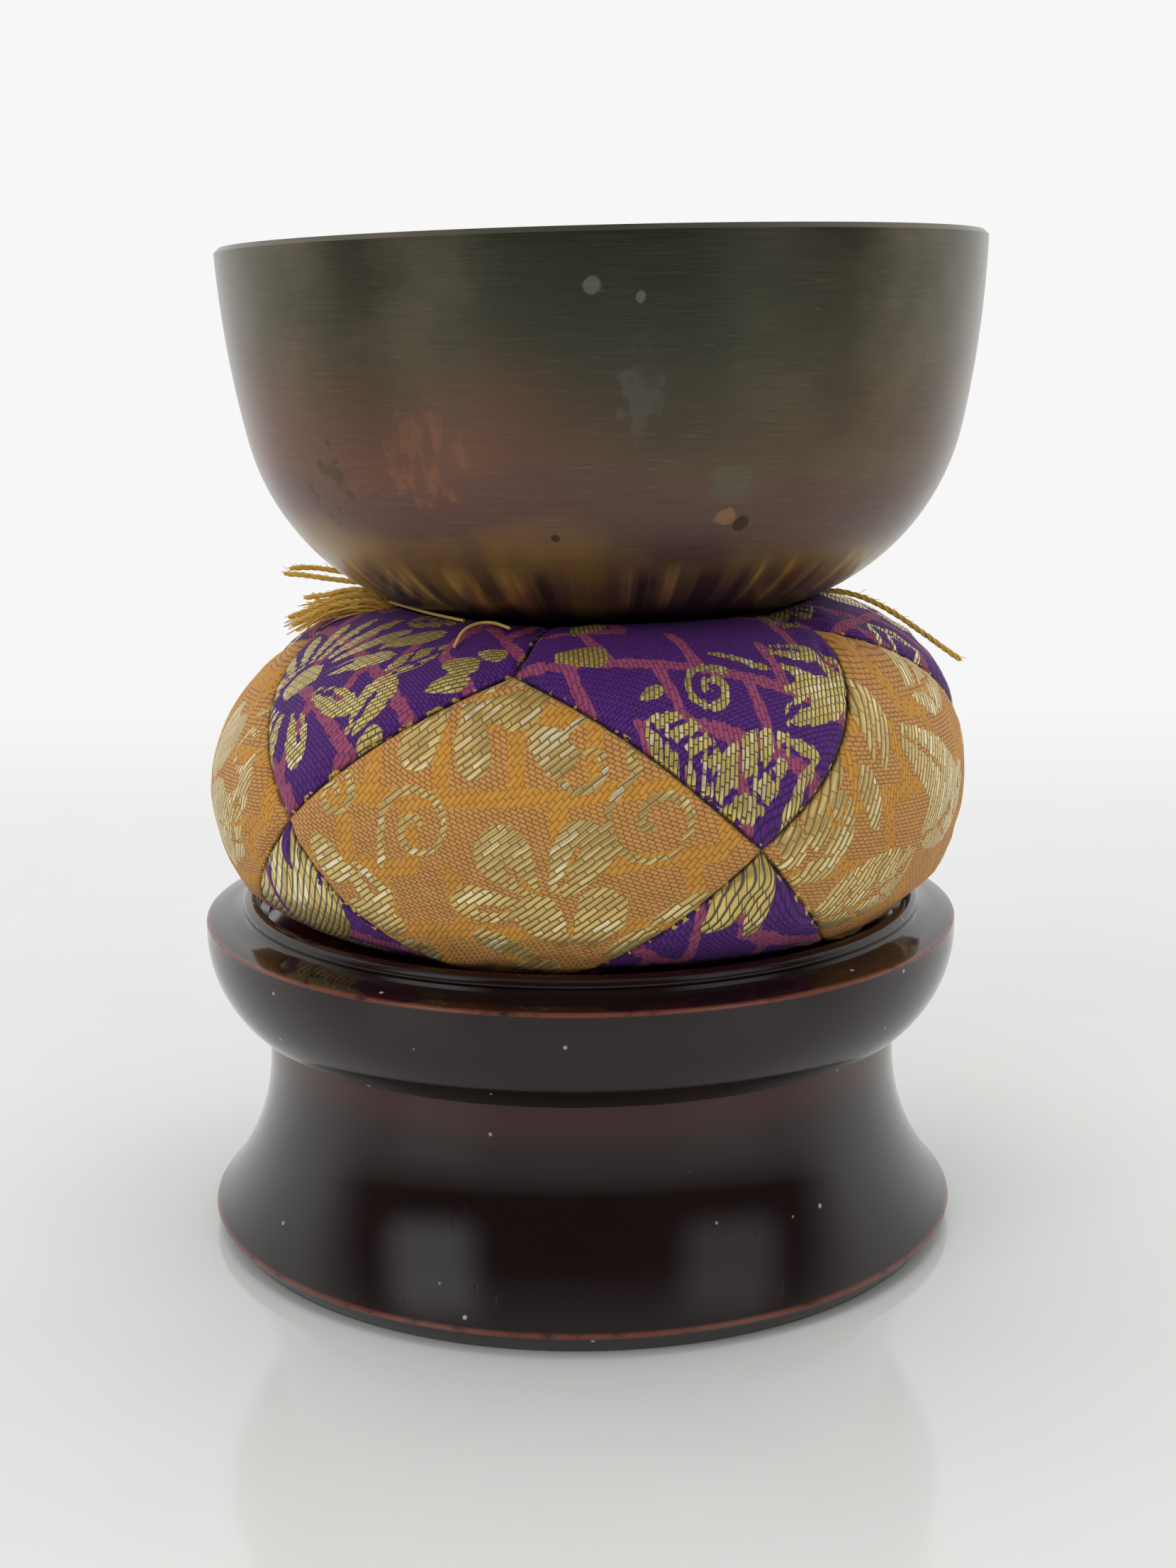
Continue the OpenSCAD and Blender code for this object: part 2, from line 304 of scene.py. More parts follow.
def brocade(name, ground, ground_dark, line, line_dark, foil, foil_dark, pitch, bar):
    """Silk brocade: fine twill ground, a second colour in lines, and gold foil weft."""
    m = Surface(name)
    grain = m.mark("grain", "Vector")
    along, across, _ = m.parts(grain)
    across = m.mul_add(m.sub(m.noise(grain, 0.35), 0.5), 0.35, across)
    gold_h, gold_rnd = threads(m, along, across, pitch, bar, 0.36, 0.06 / bar)

    def turned_by(angle):
        c, s = math.cos(math.radians(angle)), math.sin(math.radians(angle))
        return m.mul_add(along, c, m.mul(across, s)), m.mul_add(across, c, m.mul(along, -s))

    fine_h, fine_rnd = threads(m, *turned_by(-60), 0.36, 0.75, 0.4, 0.12)
    line_h, line_rnd = threads(m, *turned_by(14), 0.46, 1.3, 0.4, 0.08)
    row_rnd = m.random(m.vector(m.floor(m.div(across, pitch)), 3.0))
    steps = m.mul(m.sub(row_rnd, 0.5), 0.34)
    is_gold = m.ramp(m.add(m.mark("gold"), steps), 0.04, -0.04)
    is_line = m.ramp(m.add(m.mark("line"), steps), 0.04, -0.04)
    body_light = m.mul_add(fine_rnd, 0.25, m.mul(m.ramp(fine_h, 0.35, 1.0), 0.85))
    line_light = m.mul_add(line_rnd, 0.25, m.mul(m.ramp(line_h, 0.25, 0.95), 0.8))
    body = m.mix(body_light, ground_dark, ground)
    second = m.mix(line_light, line_dark, line)
    under = m.mix(is_line, body, second)
    shine = m.mul(m.ramp(gold_h, 0.60, 0.84), m.mul_add(gold_rnd, 0.12, 0.88))
    patchy = m.ramp(m.noise(m.where(), 130.0, 3.0), 0.35, 0.65)
    foil_c = m.mix(m.mul_add(gold_rnd, 0.5, 0.5), foil_dark, foil)
    foil_c = m.tint(foil_c, foil_dark, patchy, 0.3)
    # Painted glints: random gold bars are turned pale yellow-white, less where the foil is patchy.
    foil_c = m.tint(foil_c, (1.0, 0.92, 0.58), m.ramp(gold_rnd, 0.62, 0.90), m.sub(1.0, patchy))
    gap_c = m.mix(0.25, ground_dark, foil_dark)
    colour = m.mix(is_gold, under, m.mix(shine, gap_c, foil_c))
    # Painted shade: the cloth darkens towards black in the creases along the seams.
    seam_shade = m.ramp(m.mark("seam"), 0.03, 0.3)
    colour = m.mix(m.mul_add(seam_shade, 0.45, 0.55), tuple(0.25 * c for c in ground_dark), colour)
    glitter = m.ramp(m.noise(m.where(), 1300.0, 1.0), 0.60, 0.64)
    glint = m.mul(m.ramp(m.mark("seam"), 0.42, 0.25), glitter)
    colour = m.mix(glint, colour, foil)
    flat = m.mul(m.mix(is_line, fine_h, line_h), 0.45)
    height = m.mix(is_gold, flat, m.mul_add(m.sub(gold_rnd, 0.5), 0.35, gold_h))
    tilt = m.mul(m.noise(m.where(), 900.0), 0.5)
    return m.shade(
        Base_Color=colour, Metallic=m.max(glint, m.mul(is_gold, m.mul(shine, 0.55))),
        Roughness=m.mul_add(is_gold, -0.46, 0.74), Sheen_Weight=0.04, Sheen_Roughness=0.4,
        Normal=m.bump(m.add(height, tilt), 0.00016, 0.75))


def yarn_material():
    """Golden yellow yarn of fine fibres."""
    m = Surface("yarn")
    fine = m.noise(m.where(), 5200.0, 3.0, (1, 1, 0.6))
    colour = m.mix(fine, (0.66, 0.34, 0.025), (1.0, 0.72, 0.17))
    colour = m.tint(colour, (0.82, 0.48, 0.06), m.noise(m.where(), 210.0), 0.35)
    return m.shade(Base_Color=colour, Roughness=0.72, Normal=m.bump(fine, 0.00005, 0.6),
                   Sheen_Weight=0.35, Sheen_Roughness=0.45)


def spot(m, at, centre, size, ragged=0.0, stretch=1.0):
    """1 inside a round or upright mark on the bowl's side; centre and size are in millimetres."""
    away = [m.mul(m.sub(part, c * MM), 1 / (size * long * MM))
            for part, c, long in zip(m.parts(at), centre, (1.0, 1.0, stretch))]
    edge = m.sub(m.noise(at, 900.0, 3.0), 0.5)
    return m.ramp(m.mul_add(edge, ragged, m.sqrt(m.square_sum(*away))), 1.05, 0.75)


def bronze_material():
    """Patinated bronze, brushed: green-brown above, redder below, golden at the foot with a
    painted reflection of the cushion, and painted shade at the bottom.
    """
    m = Surface("bronze")
    at = m.where()
    x, y, z = m.parts(at)
    mottle = m.noise(at, 150.0, 4.0)
    level = m.add(z, m.mul(m.sub(m.noise(at, 45.0, 3.0), 0.5), 0.016))
    colour = m.mix(m.ramp(mottle, 0.35, 0.7), (0.098, 0.090, 0.062), (0.135, 0.116, 0.080))

    middle = m.mul(m.ramp(m.abs(m.sub(x, 0.002)), 0.020, 0.004), m.ramp(y, 0.004, -0.01))
    green = m.mul(middle, m.ramp(level, 0.012, 0.021))
    colour = m.tint(colour, (0.064, 0.072, 0.052), green, 0.85)
    red = m.mul(m.ramp(level, 0.030, 0.017), m.ramp(level, 0.002, 0.008))
    leftward = m.mul_add(m.ramp(x, 0.004, -0.012), 0.5, 0.35)
    colour = m.tint(colour, (0.180, 0.088, 0.062), red, leftward)
    violet = m.ramp(m.abs(m.sub(level, 0.0125)), 0.005, 0.001)
    colour = m.tint(colour, (0.120, 0.066, 0.068), violet, 0.55)
    colour = m.tint(colour, (0.30, 0.20, 0.075), m.ramp(level, 0.0115, 0.006), 0.75)

    # Painted reflection of the cushion: upright golden and dark streaks at the foot, on the
    # outside only.
    radial = m.sqrt(m.square_sum(x, y))
    streak = m.noise(m.vector(m.div(x, radial), m.div(y, radial)), 13.0, 3.0)
    from_arc = m.sqrt(m.square_sum(m.sub(radial, FLAT_R * MM), m.sub(z, CORNER_R * MM)))
    outside = m.ramp(from_arc, (CORNER_R - 1.0) * MM, (CORNER_R - 0.4) * MM)
    cushion_reflection = m.mul(outside, m.mul(m.ramp(z, 0.0080, 0.0052), m.ramp(z, 0.0014, 0.0040)))
    colour = m.tint(colour, (0.66, 0.47, 0.13), cushion_reflection, m.ramp(streak, 0.50, 0.66))
    colour = m.tint(colour, (0.07, 0.05, 0.04), m.mul(cushion_reflection, m.ramp(streak, 0.47, 0.38)), 0.7)
    # Painted shade: the outside darkens towards the bottom, where the bowl sits on the cushion.
    shade = m.mul(outside, m.ramp(z, 0.0042, 0.0016))
    foot = m.ramp(radial, (FLAT_R - 4.0) * MM, (FLAT_R - 1.0) * MM)
    colour = m.tint(colour, (0.026, 0.022, 0.017), shade, foot)

    # Scuffs, stains and spots.
    scratched = m.ramp(m.noise(at, 700.0, 3.0, (1, 1, 0.3)), 0.44, 0.62)
    scuff = m.mul(spot(m, at, (-15.6, -31.2, 17.2), 4.8, 1.6), scratched)
    colour = m.tint(colour, (0.300, 0.135, 0.075), scuff, 0.42)
    blotched = m.ramp(m.noise(at, 420.0, 4.0), 0.5, 0.62)
    stain = m.mul(spot(m, at, (-24.0, -23.5, 14.5), 5.0, 1.2), blotched)
    colour = m.tint(colour, (0.060, 0.045, 0.034), stain, 0.5)
    colour = m.tint(colour, (0.36, 0.18, 0.09), spot(m, at, (10.0, -31.2, 11.6), 1.1, 1.4), 0.6)
    verdigris = spot(m, at, (10.6, -32.6, 14.6), 2.2, 1.2)
    colour = m.tint(colour, (0.120, 0.160, 0.110), verdigris, 0.22)
    dark = m.max(spot(m, at, (-4.7, -31.5, 10.2), 0.45, 0.4),
                 spot(m, at, (11.4, -30.4, 10.9), 0.8, 1.2))
    colour = m.tint(colour, (0.040, 0.026, 0.020), dark, 0.8)
    pale = m.max(spot(m, at, (-1.1, -37.2, 31.3), 0.85, 0.5),
                 spot(m, at, (2.9, -37.0, 30.4), 0.5, 2.2))
    smudge = m.mul(spot(m, at, (3.0, -36.2, 22.0), 2.0, 2.0, 2.0), m.ramp(mottle, 0.42, 0.6))
    pale = m.max(pale, m.mul(smudge, 0.4))
    colour = m.tint(colour, (0.215, 0.220, 0.185), pale, 0.6)

    # Brush lines round the bowl.
    rings = m.noise(m.vector(m.mul(x, 0.02), m.mul(y, 0.02), z), 10000.0, 4.0)
    colour = m.tint(colour, (0.215, 0.190, 0.140), m.ramp(rings, 0.45, 0.75), 0.15)
    colour = m.tint(colour, (0.045, 0.040, 0.030), m.ramp(rings, 0.50, 0.25), 0.20)
    line = m.noise(m.vector(m.mul(x, 0.1), m.mul(y, 0.1), z), 3000.0)
    colour = m.tint(colour, (0.20, 0.17, 0.11), m.ramp(line, 0.68, 0.73), 0.3)
    rough = m.mul_add(pale, 0.25, m.mul_add(rings, 0.10, m.mul_add(mottle, 0.07, 0.23)))
    return m.shade(Base_Color=colour, Metallic=m.mul_add(pale, -0.5, 1.0), Roughness=rough,
                   Anisotropic=0.8, Anisotropic_Rotation=0.25, Normal=m.bump(rings, 0.00002, 0.3))


def lacquer_material():
    """Red-brown lacquer, near black where it is thick and redder at worn edges."""
    m = Surface("lacquer")
    at = m.where()
    x, y, z = m.parts(at)
    radial = m.sqrt(m.square_sum(x, y))
    cloud = m.noise(at, 60.0, 3.0)
    colour = m.mix(cloud, (0.009, 0.004, 0.004), (0.017, 0.006, 0.006))
    ridge = m.ramp(m.abs(m.sub(z, 0.0323)), 0.00026, 0.00006)
    ridge = m.mul(ridge, m.ramp(radial, 0.0378, 0.0383))
    foot = m.ramp(m.abs(m.sub(z, 0.00205)), 0.0004, 0.0001)
    worn = m.mul(m.add(ridge, foot, clamp=True), m.ramp(m.noise(at, 420.0, 3.0), 0.2, 0.5))
    under = m.mul(m.ramp(z, 0.0165, 0.0215), m.ramp(radial, 0.0350, 0.0330))
    colour = m.tint(colour, (0.085, 0.016, 0.012), under, 0.8)
    colour = m.tint(colour, (0.22, 0.060, 0.035), worn, 0.85)
    dust = m.node("TexVoronoi", at)
    dust.inputs["Scale"].default_value = 520.0
    chosen = m.math("GREATER_THAN", m.random(dust.outputs["Position"]), 0.93)
    speck = m.mul(m.ramp(dust.outputs["Distance"], 0.14, 0.07), chosen)
    colour = m.tint(colour, (0.62, 0.60, 0.57), speck, 0.75)
    scratch = m.ramp(m.noise(at, 900.0, 2.0, (1, 1, 0.12)), 0.70, 0.74)
    rough = m.mul_add(speck, 0.6, m.mul_add(scratch, 0.12, m.mul_add(cloud, 0.06, 0.09)))
    height = m.mul_add(m.noise(at, 35.0), 2.0, m.add(speck, m.mul(scratch, -0.3)))
    return m.shade(Base_Color=colour, Roughness=rough, Normal=m.bump(height, 0.00004, 0.5),
                   Coat_Weight=0.15, Coat_Roughness=0.04, Specular_IOR_Level=0.38)


def cotton_material():
    """Off-white cotton wadding."""
    m = Surface("wadding")
    fluff = m.noise(m.where(), 1500.0, 4.0)
    colour = m.mix(fluff, (0.62, 0.58, 0.48), (0.86, 0.83, 0.76))
    return m.shade(Base_Color=colour, Roughness=0.95, Sheen_Weight=0.2,
                   Normal=m.bump(fluff, 0.0003, 0.8))


# ---------------------------------------------------------------- cords
YARN_R = 0.3
YARN_STEP = 0.16
# The middle line of each yarn, in millimetres, from the knot to its cut end.
ROUTES = {
    "yarn_right": [
        (3.1, 0, 60.4), (4.9, 0.1, 62.1), (10, 0.3, 62.2), (14, 0.5, 62.3), (18, 0.5, 62.6),
        (21.5, 0.5, 63.2), (25, 0.4, 64.5), (28.2, 0.2, 64.1), (31.5, 0, 62.6), (34.8, 0, 60.4),
        (37, 0.1, 58.8), (39, 0.2, 57.4)],
    "yarn_left_high": [
        (-1.6, 1.4, 60.4), (-3, 1.9, 62.1), (-8.5, 4.2, 62), (-12, 5.6, 62.1), (-15, 6.8, 62.7),
        (-17.5, 7.8, 63.6), (-20.5, 8.7, 64.9), (-23.6, 9.5, 65.5), (-26.5, 10, 66),
        (-28.6, 10.2, 66.2), (-30.6, 10.2, 66.1)],
    "yarn_left_mid": [
        (-1.7, 0.6, 60.4), (-3.3, 1, 62.1), (-8.5, 2.3, 62), (-12, 3.2, 62), (-15, 4.2, 62.5),
        (-17.5, 5.2, 63.3), (-20.5, 6.4, 64.6), (-23.6, 7.3, 65), (-26.5, 8, 65.3),
        (-29, 8.6, 65.6), (-31, 9, 65.7)],
    "yarn_left_low": [
        (-1.7, -0.2, 60.4), (-3.3, 0, 62.1), (-8.5, 0.8, 62), (-12, 1.4, 62), (-15, 2, 62.4),
        (-17.5, 2.6, 63.2), (-20.5, 3.4, 64.4), (-23.5, 4.4, 64.5), (-26.2, 5.2, 63.9),
        (-28.6, 6, 63.5)],
    "yarn_fray_high": [
        (-1.5, -1, 60.4), (-3.2, -1.1, 62.1), (-8.5, -1.6, 62), (-12, -1.7, 62),
        (-15, -1.7, 62.4), (-17.5, -1.6, 63.2), (-20.5, -1.2, 64.4), (-23.5, -0.8, 64.4),
        (-26.6, -0.6, 63.3), (-29.4, -0.5, 62.3)],
    "yarn_fray_low": [
        (-1, -1.7, 60.4), (-2.6, -2.3, 62.1), (-8, -4.5, 62), (-11.5, -5.2, 62),
        (-14.5, -5.5, 62.5), (-17, -5.5, 63.2), (-20, -5.2, 64.4), (-23, -4.8, 64.3),
        (-26, -4.3, 63.3), (-28.6, -3.8, 62)],
}

# Two short threads that lie in front, at the foot of the bowl.
TRIMS = [
    [(-18.6, -5.8, 64.5), (-17.4, -8.2, 64.5), (-14.8, -13.2, 64.5), (-12.6, -16.2, 64.4),
     (-10.6, -18.6, 64.3)],
    [(-11.2, -24.3, 62.7), (-10.5, -22.4, 63.8), (-9.3, -20.9, 64.3), (-7.8, -21, 64.4),
     (-6.2, -22.6, 64.1)],
]


def twisted(line, radius, plies, turn_mm, taper=True):
    """A yarn of several plies twisted about a line."""
    a, b = frames_along(line)
    run = run_along(line)
    parts = []
    for k in range(plies):
        phase = 2 * math.pi * (k / plies + run / turn_mm)
        off = radius * 0.47
        path = line + off * (np.cos(phase)[:, None] * a + np.sin(phase)[:, None] * b)
        size = radius * 0.53 * (1 + 0.08 * np.sin(run * 2.3 + k))
        if taper:
            size = size * np.clip((run[-1] - run) / 0.8 + 0.45, 0.45, 1)
        parts.append(tube(path, size, 7))
    return parts


def hairs(line, count, radius, length, rng, start):
    """Fine fibres that stand off a yarn."""
    parts = []
    a, b = frames_along(line)
    ahead = ahead_along(line)
    for _ in range(count):
        i = int(rng.integers(int(start * (len(line) - 2)), len(line) - 1))
        turn = rng.uniform(0, 2 * math.pi)
        out = math.cos(turn) * a[i] + math.sin(turn) * b[i]
        if out[2] < 0:
            out[2] *= -0.4
        long = length * rng.uniform(0.5, 1.2)
        lean = ahead[i] * rng.uniform(0.4, 1.4) + out * rng.uniform(0.3, 1)
        t = np.linspace(0, 1, 5)[:, None]
        curl = rng.normal(0, 0.16, 3)
        path = line[i] + out * radius * 0.7 + lean * t * long * 0.6 + curl * t * t * long
        parts.append(tube(path, np.linspace(0.035, 0.018, 5), 3))
    return parts


def add_fray(name, routes, count, rng, yarn):
    """Loose fibres that have worked out of the yarns, and the short threads in front."""
    parts = []
    lines = [smooth_route(ROUTES[r], YARN_STEP) for r in routes]
    for _ in range(count):
        line = lines[int(rng.integers(len(lines)))]
        first = int(rng.uniform(0.50, 0.84) * len(line))
        last = min(len(line) - 1, first + int(rng.uniform(18, 46)))
        path = line[np.linspace(first, last, 8).astype(int)].copy()
        t = np.linspace(0, 1, 8)[:, None]
        path += rng.normal(0, 1, 3) * (0.28, 0.55, 0.22) - (0, 0, 0.5)
        path += rng.normal(0, 1, 3) * (0.3, 0.55, 0.28) * t ** 1.5 + (0, 0, -0.25) * t
        path += 0.12 * np.sin(5 * t + rng.uniform(0, 6)) * rng.normal(0, 1, 3)
        parts.append(tube(path, np.linspace(0.10, 0.045, 8), 4))
    for trim in TRIMS:
        path = smooth_route(trim, 0.25)
        parts.append(tube(path, np.full(len(path), 0.15), 6))
    obj = add_mesh(name, *joined(parts), smooth_deg=70)
    obj.data.materials.append(yarn)
    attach(obj, "cushion")
    return obj


def make_cords(yarn):
    """The six loose yarns of three plies with stray fibres, and the fray about the left ones."""
    rng = np.random.default_rng(SEED)
    frayed = ("yarn_fray_high", "yarn_fray_low", "yarn_left_low")
    fray = add_fray("fray_left", frayed, 210, rng, yarn)
    for name, route in ROUTES.items():
        line = smooth_route(route, YARN_STEP)
        parts = twisted(line, YARN_R, 3, 2.6)
        parts += hairs(line, 60, YARN_R, 0.9, rng, start=0.55)
        obj = add_mesh(name, *joined(parts), smooth_deg=70)
        obj.data.materials.append(yarn)
        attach(obj, "cushion")
        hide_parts(name)


make_camera()
YARN = yarn_material()
make_cords(YARN)

# ---------------------------------------------------------------- bowl
# The outline: a flat bottom, a corner arc up to BREAK degrees, then a wide flank arc to the rim.
RIM_R, BOWL_H, CORNER_R, FLANK_R, BREAK, WALL, BEVEL = 37.5, 36.1, 23, 100, 12.5, 1.8, 0.5
BOWL_X, BOWL_Z, BOWL_LEAN = 3.05, 63, 1.03
FLANK_Z = CORNER_R + (FLANK_R - CORNER_R) * math.sin(math.radians(BREAK))
FLANK_X = RIM_R - math.sqrt(FLANK_R ** 2 - (FLANK_Z - BOWL_H) ** 2)
FLAT_R = FLANK_X + (FLANK_R - CORNER_R) * math.cos(math.radians(BREAK))
BOWL_AT = (Matrix.Translation((BOWL_X * MM, 0, BOWL_Z * MM))
           @ Matrix.Rotation(math.radians(-BOWL_LEAN), 4, "Y"))


def bowl_outline():
    """The bowl's section: outside, bevelled lip and inside."""
    top = -math.degrees(math.asin((FLANK_Z - BOWL_H + BEVEL) / FLANK_R))
    outer = [(0.0, 0.0)] + arc((FLAT_R, CORNER_R), CORNER_R, -90, -BREAK, 40)
    outer += arc((FLANK_X, FLANK_Z), FLANK_R, -BREAK + 0.3, top, 12)
    lip = [(RIM_R - 0.02, BOWL_H - BEVEL + 0.04), (RIM_R - BEVEL, BOWL_H),
           (RIM_R - WALL + 0.25, BOWL_H), (RIM_R - WALL, BOWL_H - 0.22)]
    inside = arc((FLANK_X, FLANK_Z), FLANK_R - WALL, top - 0.5, -BREAK, 12)
    inside += arc((FLAT_R, CORNER_R), CORNER_R - WALL, -BREAK - 1, -90, 40)
    return outer + lip + inside + [(0.0, WALL)]


def make_bowl():
    bowl = lathe("bowl_shell", bowl_outline(), 320, 24)
    bowl.matrix_world = BOWL_AT
    bowl.data.materials.append(bronze_material())
    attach(bowl, "bowl")
    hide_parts("bowl")


# ---------------------------------------------------------------- stand
def make_stand(lacquer):
    """The flared base, which is hollow below, and the dish that is glued on it."""
    waist_r, waist_z, edge_r, edge_z, wall = 32.5, 18, 38.65, 2.05, 3.1
    flare_r = ((edge_r - waist_r) ** 2 + (waist_z - edge_z) ** 2) / (2 * (edge_r - waist_r))
    c = (waist_r + flare_r, waist_z)
    end = math.degrees(math.asin((waist_z - edge_z) / flare_r))
    inner_end = math.degrees(math.asin((waist_z - 2.2) / (flare_r + wall)))
    base = [(edge_r - wall - 0.4, 0), (37.0, 0), (37.2, 0.12), (edge_r - 0.08, edge_z - 0.12),
            (edge_r, edge_z), (edge_r - 0.1, edge_z + 0.14)]
    base += arc(c, flare_r, 180 + end - 1.5, 180, 36)
    base += [(waist_r, 22.3), (waist_r - wall, 22.3)]
    base += arc(c, flare_r + wall, 180, 180 + inner_end, 24)
    bottom = lathe("base_turned", base, 256, 24)
    side_c, side_r = (26.5, 31.1), 12
    side_end = math.degrees(math.asin((side_c[1] - 22.5) / side_r))
    dish = [(0.0, 28.6), (26.95, 28.6), (26.95, 17.3), (29.35, 17.3), (29.35, 22.3)]
    dish += arc(side_c, side_r, -side_end, 0, 30)
    dish += [(38.5, 32.22), (38.42, 32.36), (38.3, 32.42), (36.6, 32.6), (35.2, 32.9)]
    dish += [(34.95, 33.05)]
    dish += arc((33.95, 33.7), 0.9, -20, 180, 20)
    dish += [(33.05, 32.8), (32.25, 32.2), (0.0, 32.2)]
    top = lathe("dish_turned", dish, 256, 24)
    for piece, node in ((bottom, "stand_base"), (top, "stand_dish")):
        piece.data.materials.append(lacquer)
        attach(piece, "stand")
        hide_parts(node)


# ---------------------------------------------------------------- cushion
COUNT = 5
# Widest height, rise above it and fall below it, then the radii of crest, sole and widest line.
MID_Z, UP, DOWN, CREST, SOLE, WIDE = 45.6, 18.7, 13.0, 20.0, 24.0, 38.45
POLE = 1.6
TIE_X = 0.8
CELLS, FINER = 20, 4
# The patches' corners in (azimuth, s), where three seams or more meet.
SIDE = [(-46.2, 0.06), (23.9, 0.015), (96.0, 0.04), (168.0, 0.03), (241.0, 0.04)]
TOP = [(-17.0, 0.63), (47.5, 0.84), (131.0, 0.68), (205.0, 0.66), (277.0, 0.66)]
LOW = [(-11.4 + 72 * k, -1.015) for k in range(COUNT)]


def lean_x(z):
    """Sideways place of the cushion's middle at a height: its top leans a little to the right."""
    return 0.7 + 2 * (np.maximum(z - 44, 0) / 16) ** 2 * (z < 62.5) + 2.67 * (z >= 62.5)


def surface(turn, s):
    """Points of the cushion's surface.

    turn is the azimuth in degrees; s goes from 0 at the widest line to 1 at the crest and POLE in
    the middle of the top, and below the widest line it is negative.
    """
    a = np.radians(90 * np.clip(np.abs(s), 0, 1))
    r = np.where(s >= 0, CREST + (WIDE - CREST) * np.cos(a), SOLE + (WIDE - SOLE) * np.cos(a))
    z = np.where(s >= 0, MID_Z + UP * np.sin(a), MID_Z - DOWN * np.sin(a))
    inside = (POLE - np.abs(s)) / (POLE - 1)
    r = np.where(np.abs(s) > 1, np.where(s > 0, CREST, SOLE) * inside, r)
    well = (np.where(s > 1, -5.5 * np.exp(-(r / 3.6) ** 2), 0)
            + np.where(s < -1, 2.2 * np.exp(-(r / 2.2) ** 2), 0))
    t = np.radians(turn)
    top_off = TIE_X + (lean_x(np.full_like(z, 64.0)) - TIE_X) * np.clip(r / CREST, 0, 1)
    off = np.where(s > 1, top_off, lean_x(z))
    off = np.where(s < -1, TIE_X + (0.7 - TIE_X) * np.clip(r / SOLE, 0, 1), off)
    return np.stack([off + r * np.sin(t), -r * np.cos(t), z + well], -1)


def chart(turn, s, low):
    """A flat map about the middle of the top, or of the bottom if low."""
    rho = POLE + s if low else POLE - s
    t = np.radians(turn)
    return np.stack([rho * np.sin(t), -rho * np.cos(t)], -1)


def unchart(p, low):
    rho = np.linalg.norm(p, axis=-1)
    turn = np.degrees(np.arctan2(p[..., 0], -p[..., 1]))
    return turn, (rho - POLE if low else POLE - rho)


def seam(a, b, bulge=(0.0, 0.0)):
    """Points from corner a to corner b in (azimuth, s), bowed by bulge in the middle."""
    t = np.linspace(0, 1, CELLS + 1)
    bow = np.sin(math.pi * t)
    return np.stack([a[k] + (b[k] - a[k]) * t + bulge[k] * bow for k in (0, 1)], 1)


def to_pole(corner, s_end):
    return seam(corner, (corner[0], s_end))


def coons(c0, c1, d0, d1, low):
    """A grid of (azimuth, s) filling four edges: c0 and c1 run with u, d0 and d1 with v."""
    C0, C1, D0, D1 = (chart(e[:, 0], e[:, 1], low) for e in (c0, c1, d0, d1))
    n = len(c0) - 1
    u = np.linspace(0, 1, n + 1)[:, None, None]
    v = np.linspace(0, 1, n + 1)[None, :, None]
    grid = ((1 - v) * C0[:, None] + v * C1[:, None] + (1 - u) * D0[None] + u * D1[None]
            - (1 - u) * (1 - v) * C0[0] - u * (1 - v) * C0[-1]
            - (1 - u) * v * C1[0] - u * v * C1[-1])
    turn, s = unchart(grid, low)
    out = np.stack([turn, s], -1)
    out[:, 0], out[:, -1], out[0], out[-1] = c0, c1, d0, d1
    return out


# How far each seam bows in (azimuth, s).
BOWS_UP_LEFT = [(0, 0.03), (3.5, -0.08), (0, 0.05), (0, 0.04), (0, 0.03)]
BOWS_UP_RIGHT = [(0, 0.07), (0, 0.05), (0, 0.04), (0, 0.05), (0, 0.04)]
BOWS_LOW_LEFT = [(0, -0.05), (0, -0.13), (0, -0.05), (0, -0.06), (0, -0.05)]
BOWS_LOW_RIGHT = [(0, 0.02), (0, -0.04), (0, -0.05), (0, -0.03), (0, -0.05)]


def turned(corner, k):
    return (corner[0] + 360 * k, corner[1])


def patch_grids():
    """Each patch's grid of (azimuth, s), by name."""
    grids = {}
    for k in range(COUNT):
        nxt = (k + 1) % COUNT
        wrap = 1 if k == COUNT - 1 else 0
        left, right = SIDE[k], turned(SIDE[nxt], wrap)
        up_left = seam(left, TOP[k], BOWS_UP_LEFT[k])
        up_right = seam(TOP[k], right, BOWS_UP_RIGHT[k])
        low_left = seam(left, LOW[k], BOWS_LOW_LEFT[k])
        low_right = seam(LOW[k], right, BOWS_LOW_RIGHT[k])
        grids["patch_side_%d" % (k + 1)] = coons(low_left, up_right, up_left, low_right, False)
        top_next, low_next = turned(TOP[nxt], wrap), turned(LOW[nxt], wrap)
        nxt_left = seam(right, top_next, BOWS_UP_LEFT[nxt])
        grids["patch_top_%d" % (k + 1)] = coons(
            to_pole(TOP[k], POLE)[::-1], nxt_left[::-1],
            to_pole(top_next, POLE)[::-1], up_right, False)
        grids["patch_bottom_%d" % (k + 1)] = coons(
            to_pole(LOW[k], -POLE)[::-1], seam(right, low_next, BOWS_LOW_LEFT[nxt])[::-1],
            to_pole(low_next, -POLE)[::-1], low_right, True)
    return grids


def grid_faces(n):
    """Quads of a grid of n by n cells."""
    firsts = [i * (n + 1) + j for i in range(n) for j in range(n)]
    return [[f, f + n + 1, f + n + 2, f + 1] for f in firsts]


def grid_normals(p):
    """Outward normals of a grid of points."""
    n = np.cross(np.gradient(p, axis=0), np.gradient(p, axis=1))
    n /= np.maximum(np.linalg.norm(n, axis=-1), 1e-9)[..., None]
    middle = p.reshape(-1, 3).mean(0) - np.array([1.0, 0, 47.0])
    return n if (n.reshape(-1, 3) @ middle).mean() > 0 else -n


def weld(grids):
    """One list of points for all grids, with each grid's indices into it."""
    points, index, seen = [], {}, {}
    for name, g in grids.items():
        ids = []
        for q in g.reshape(-1, 3):
            key = tuple(np.round(q, 3) + 0.0)
            if key not in seen:
                seen[key] = len(points)
                points.append(q)
            ids.append(seen[key])
        index[name] = np.array(ids).reshape(g.shape[:2])
    return np.array(points), index


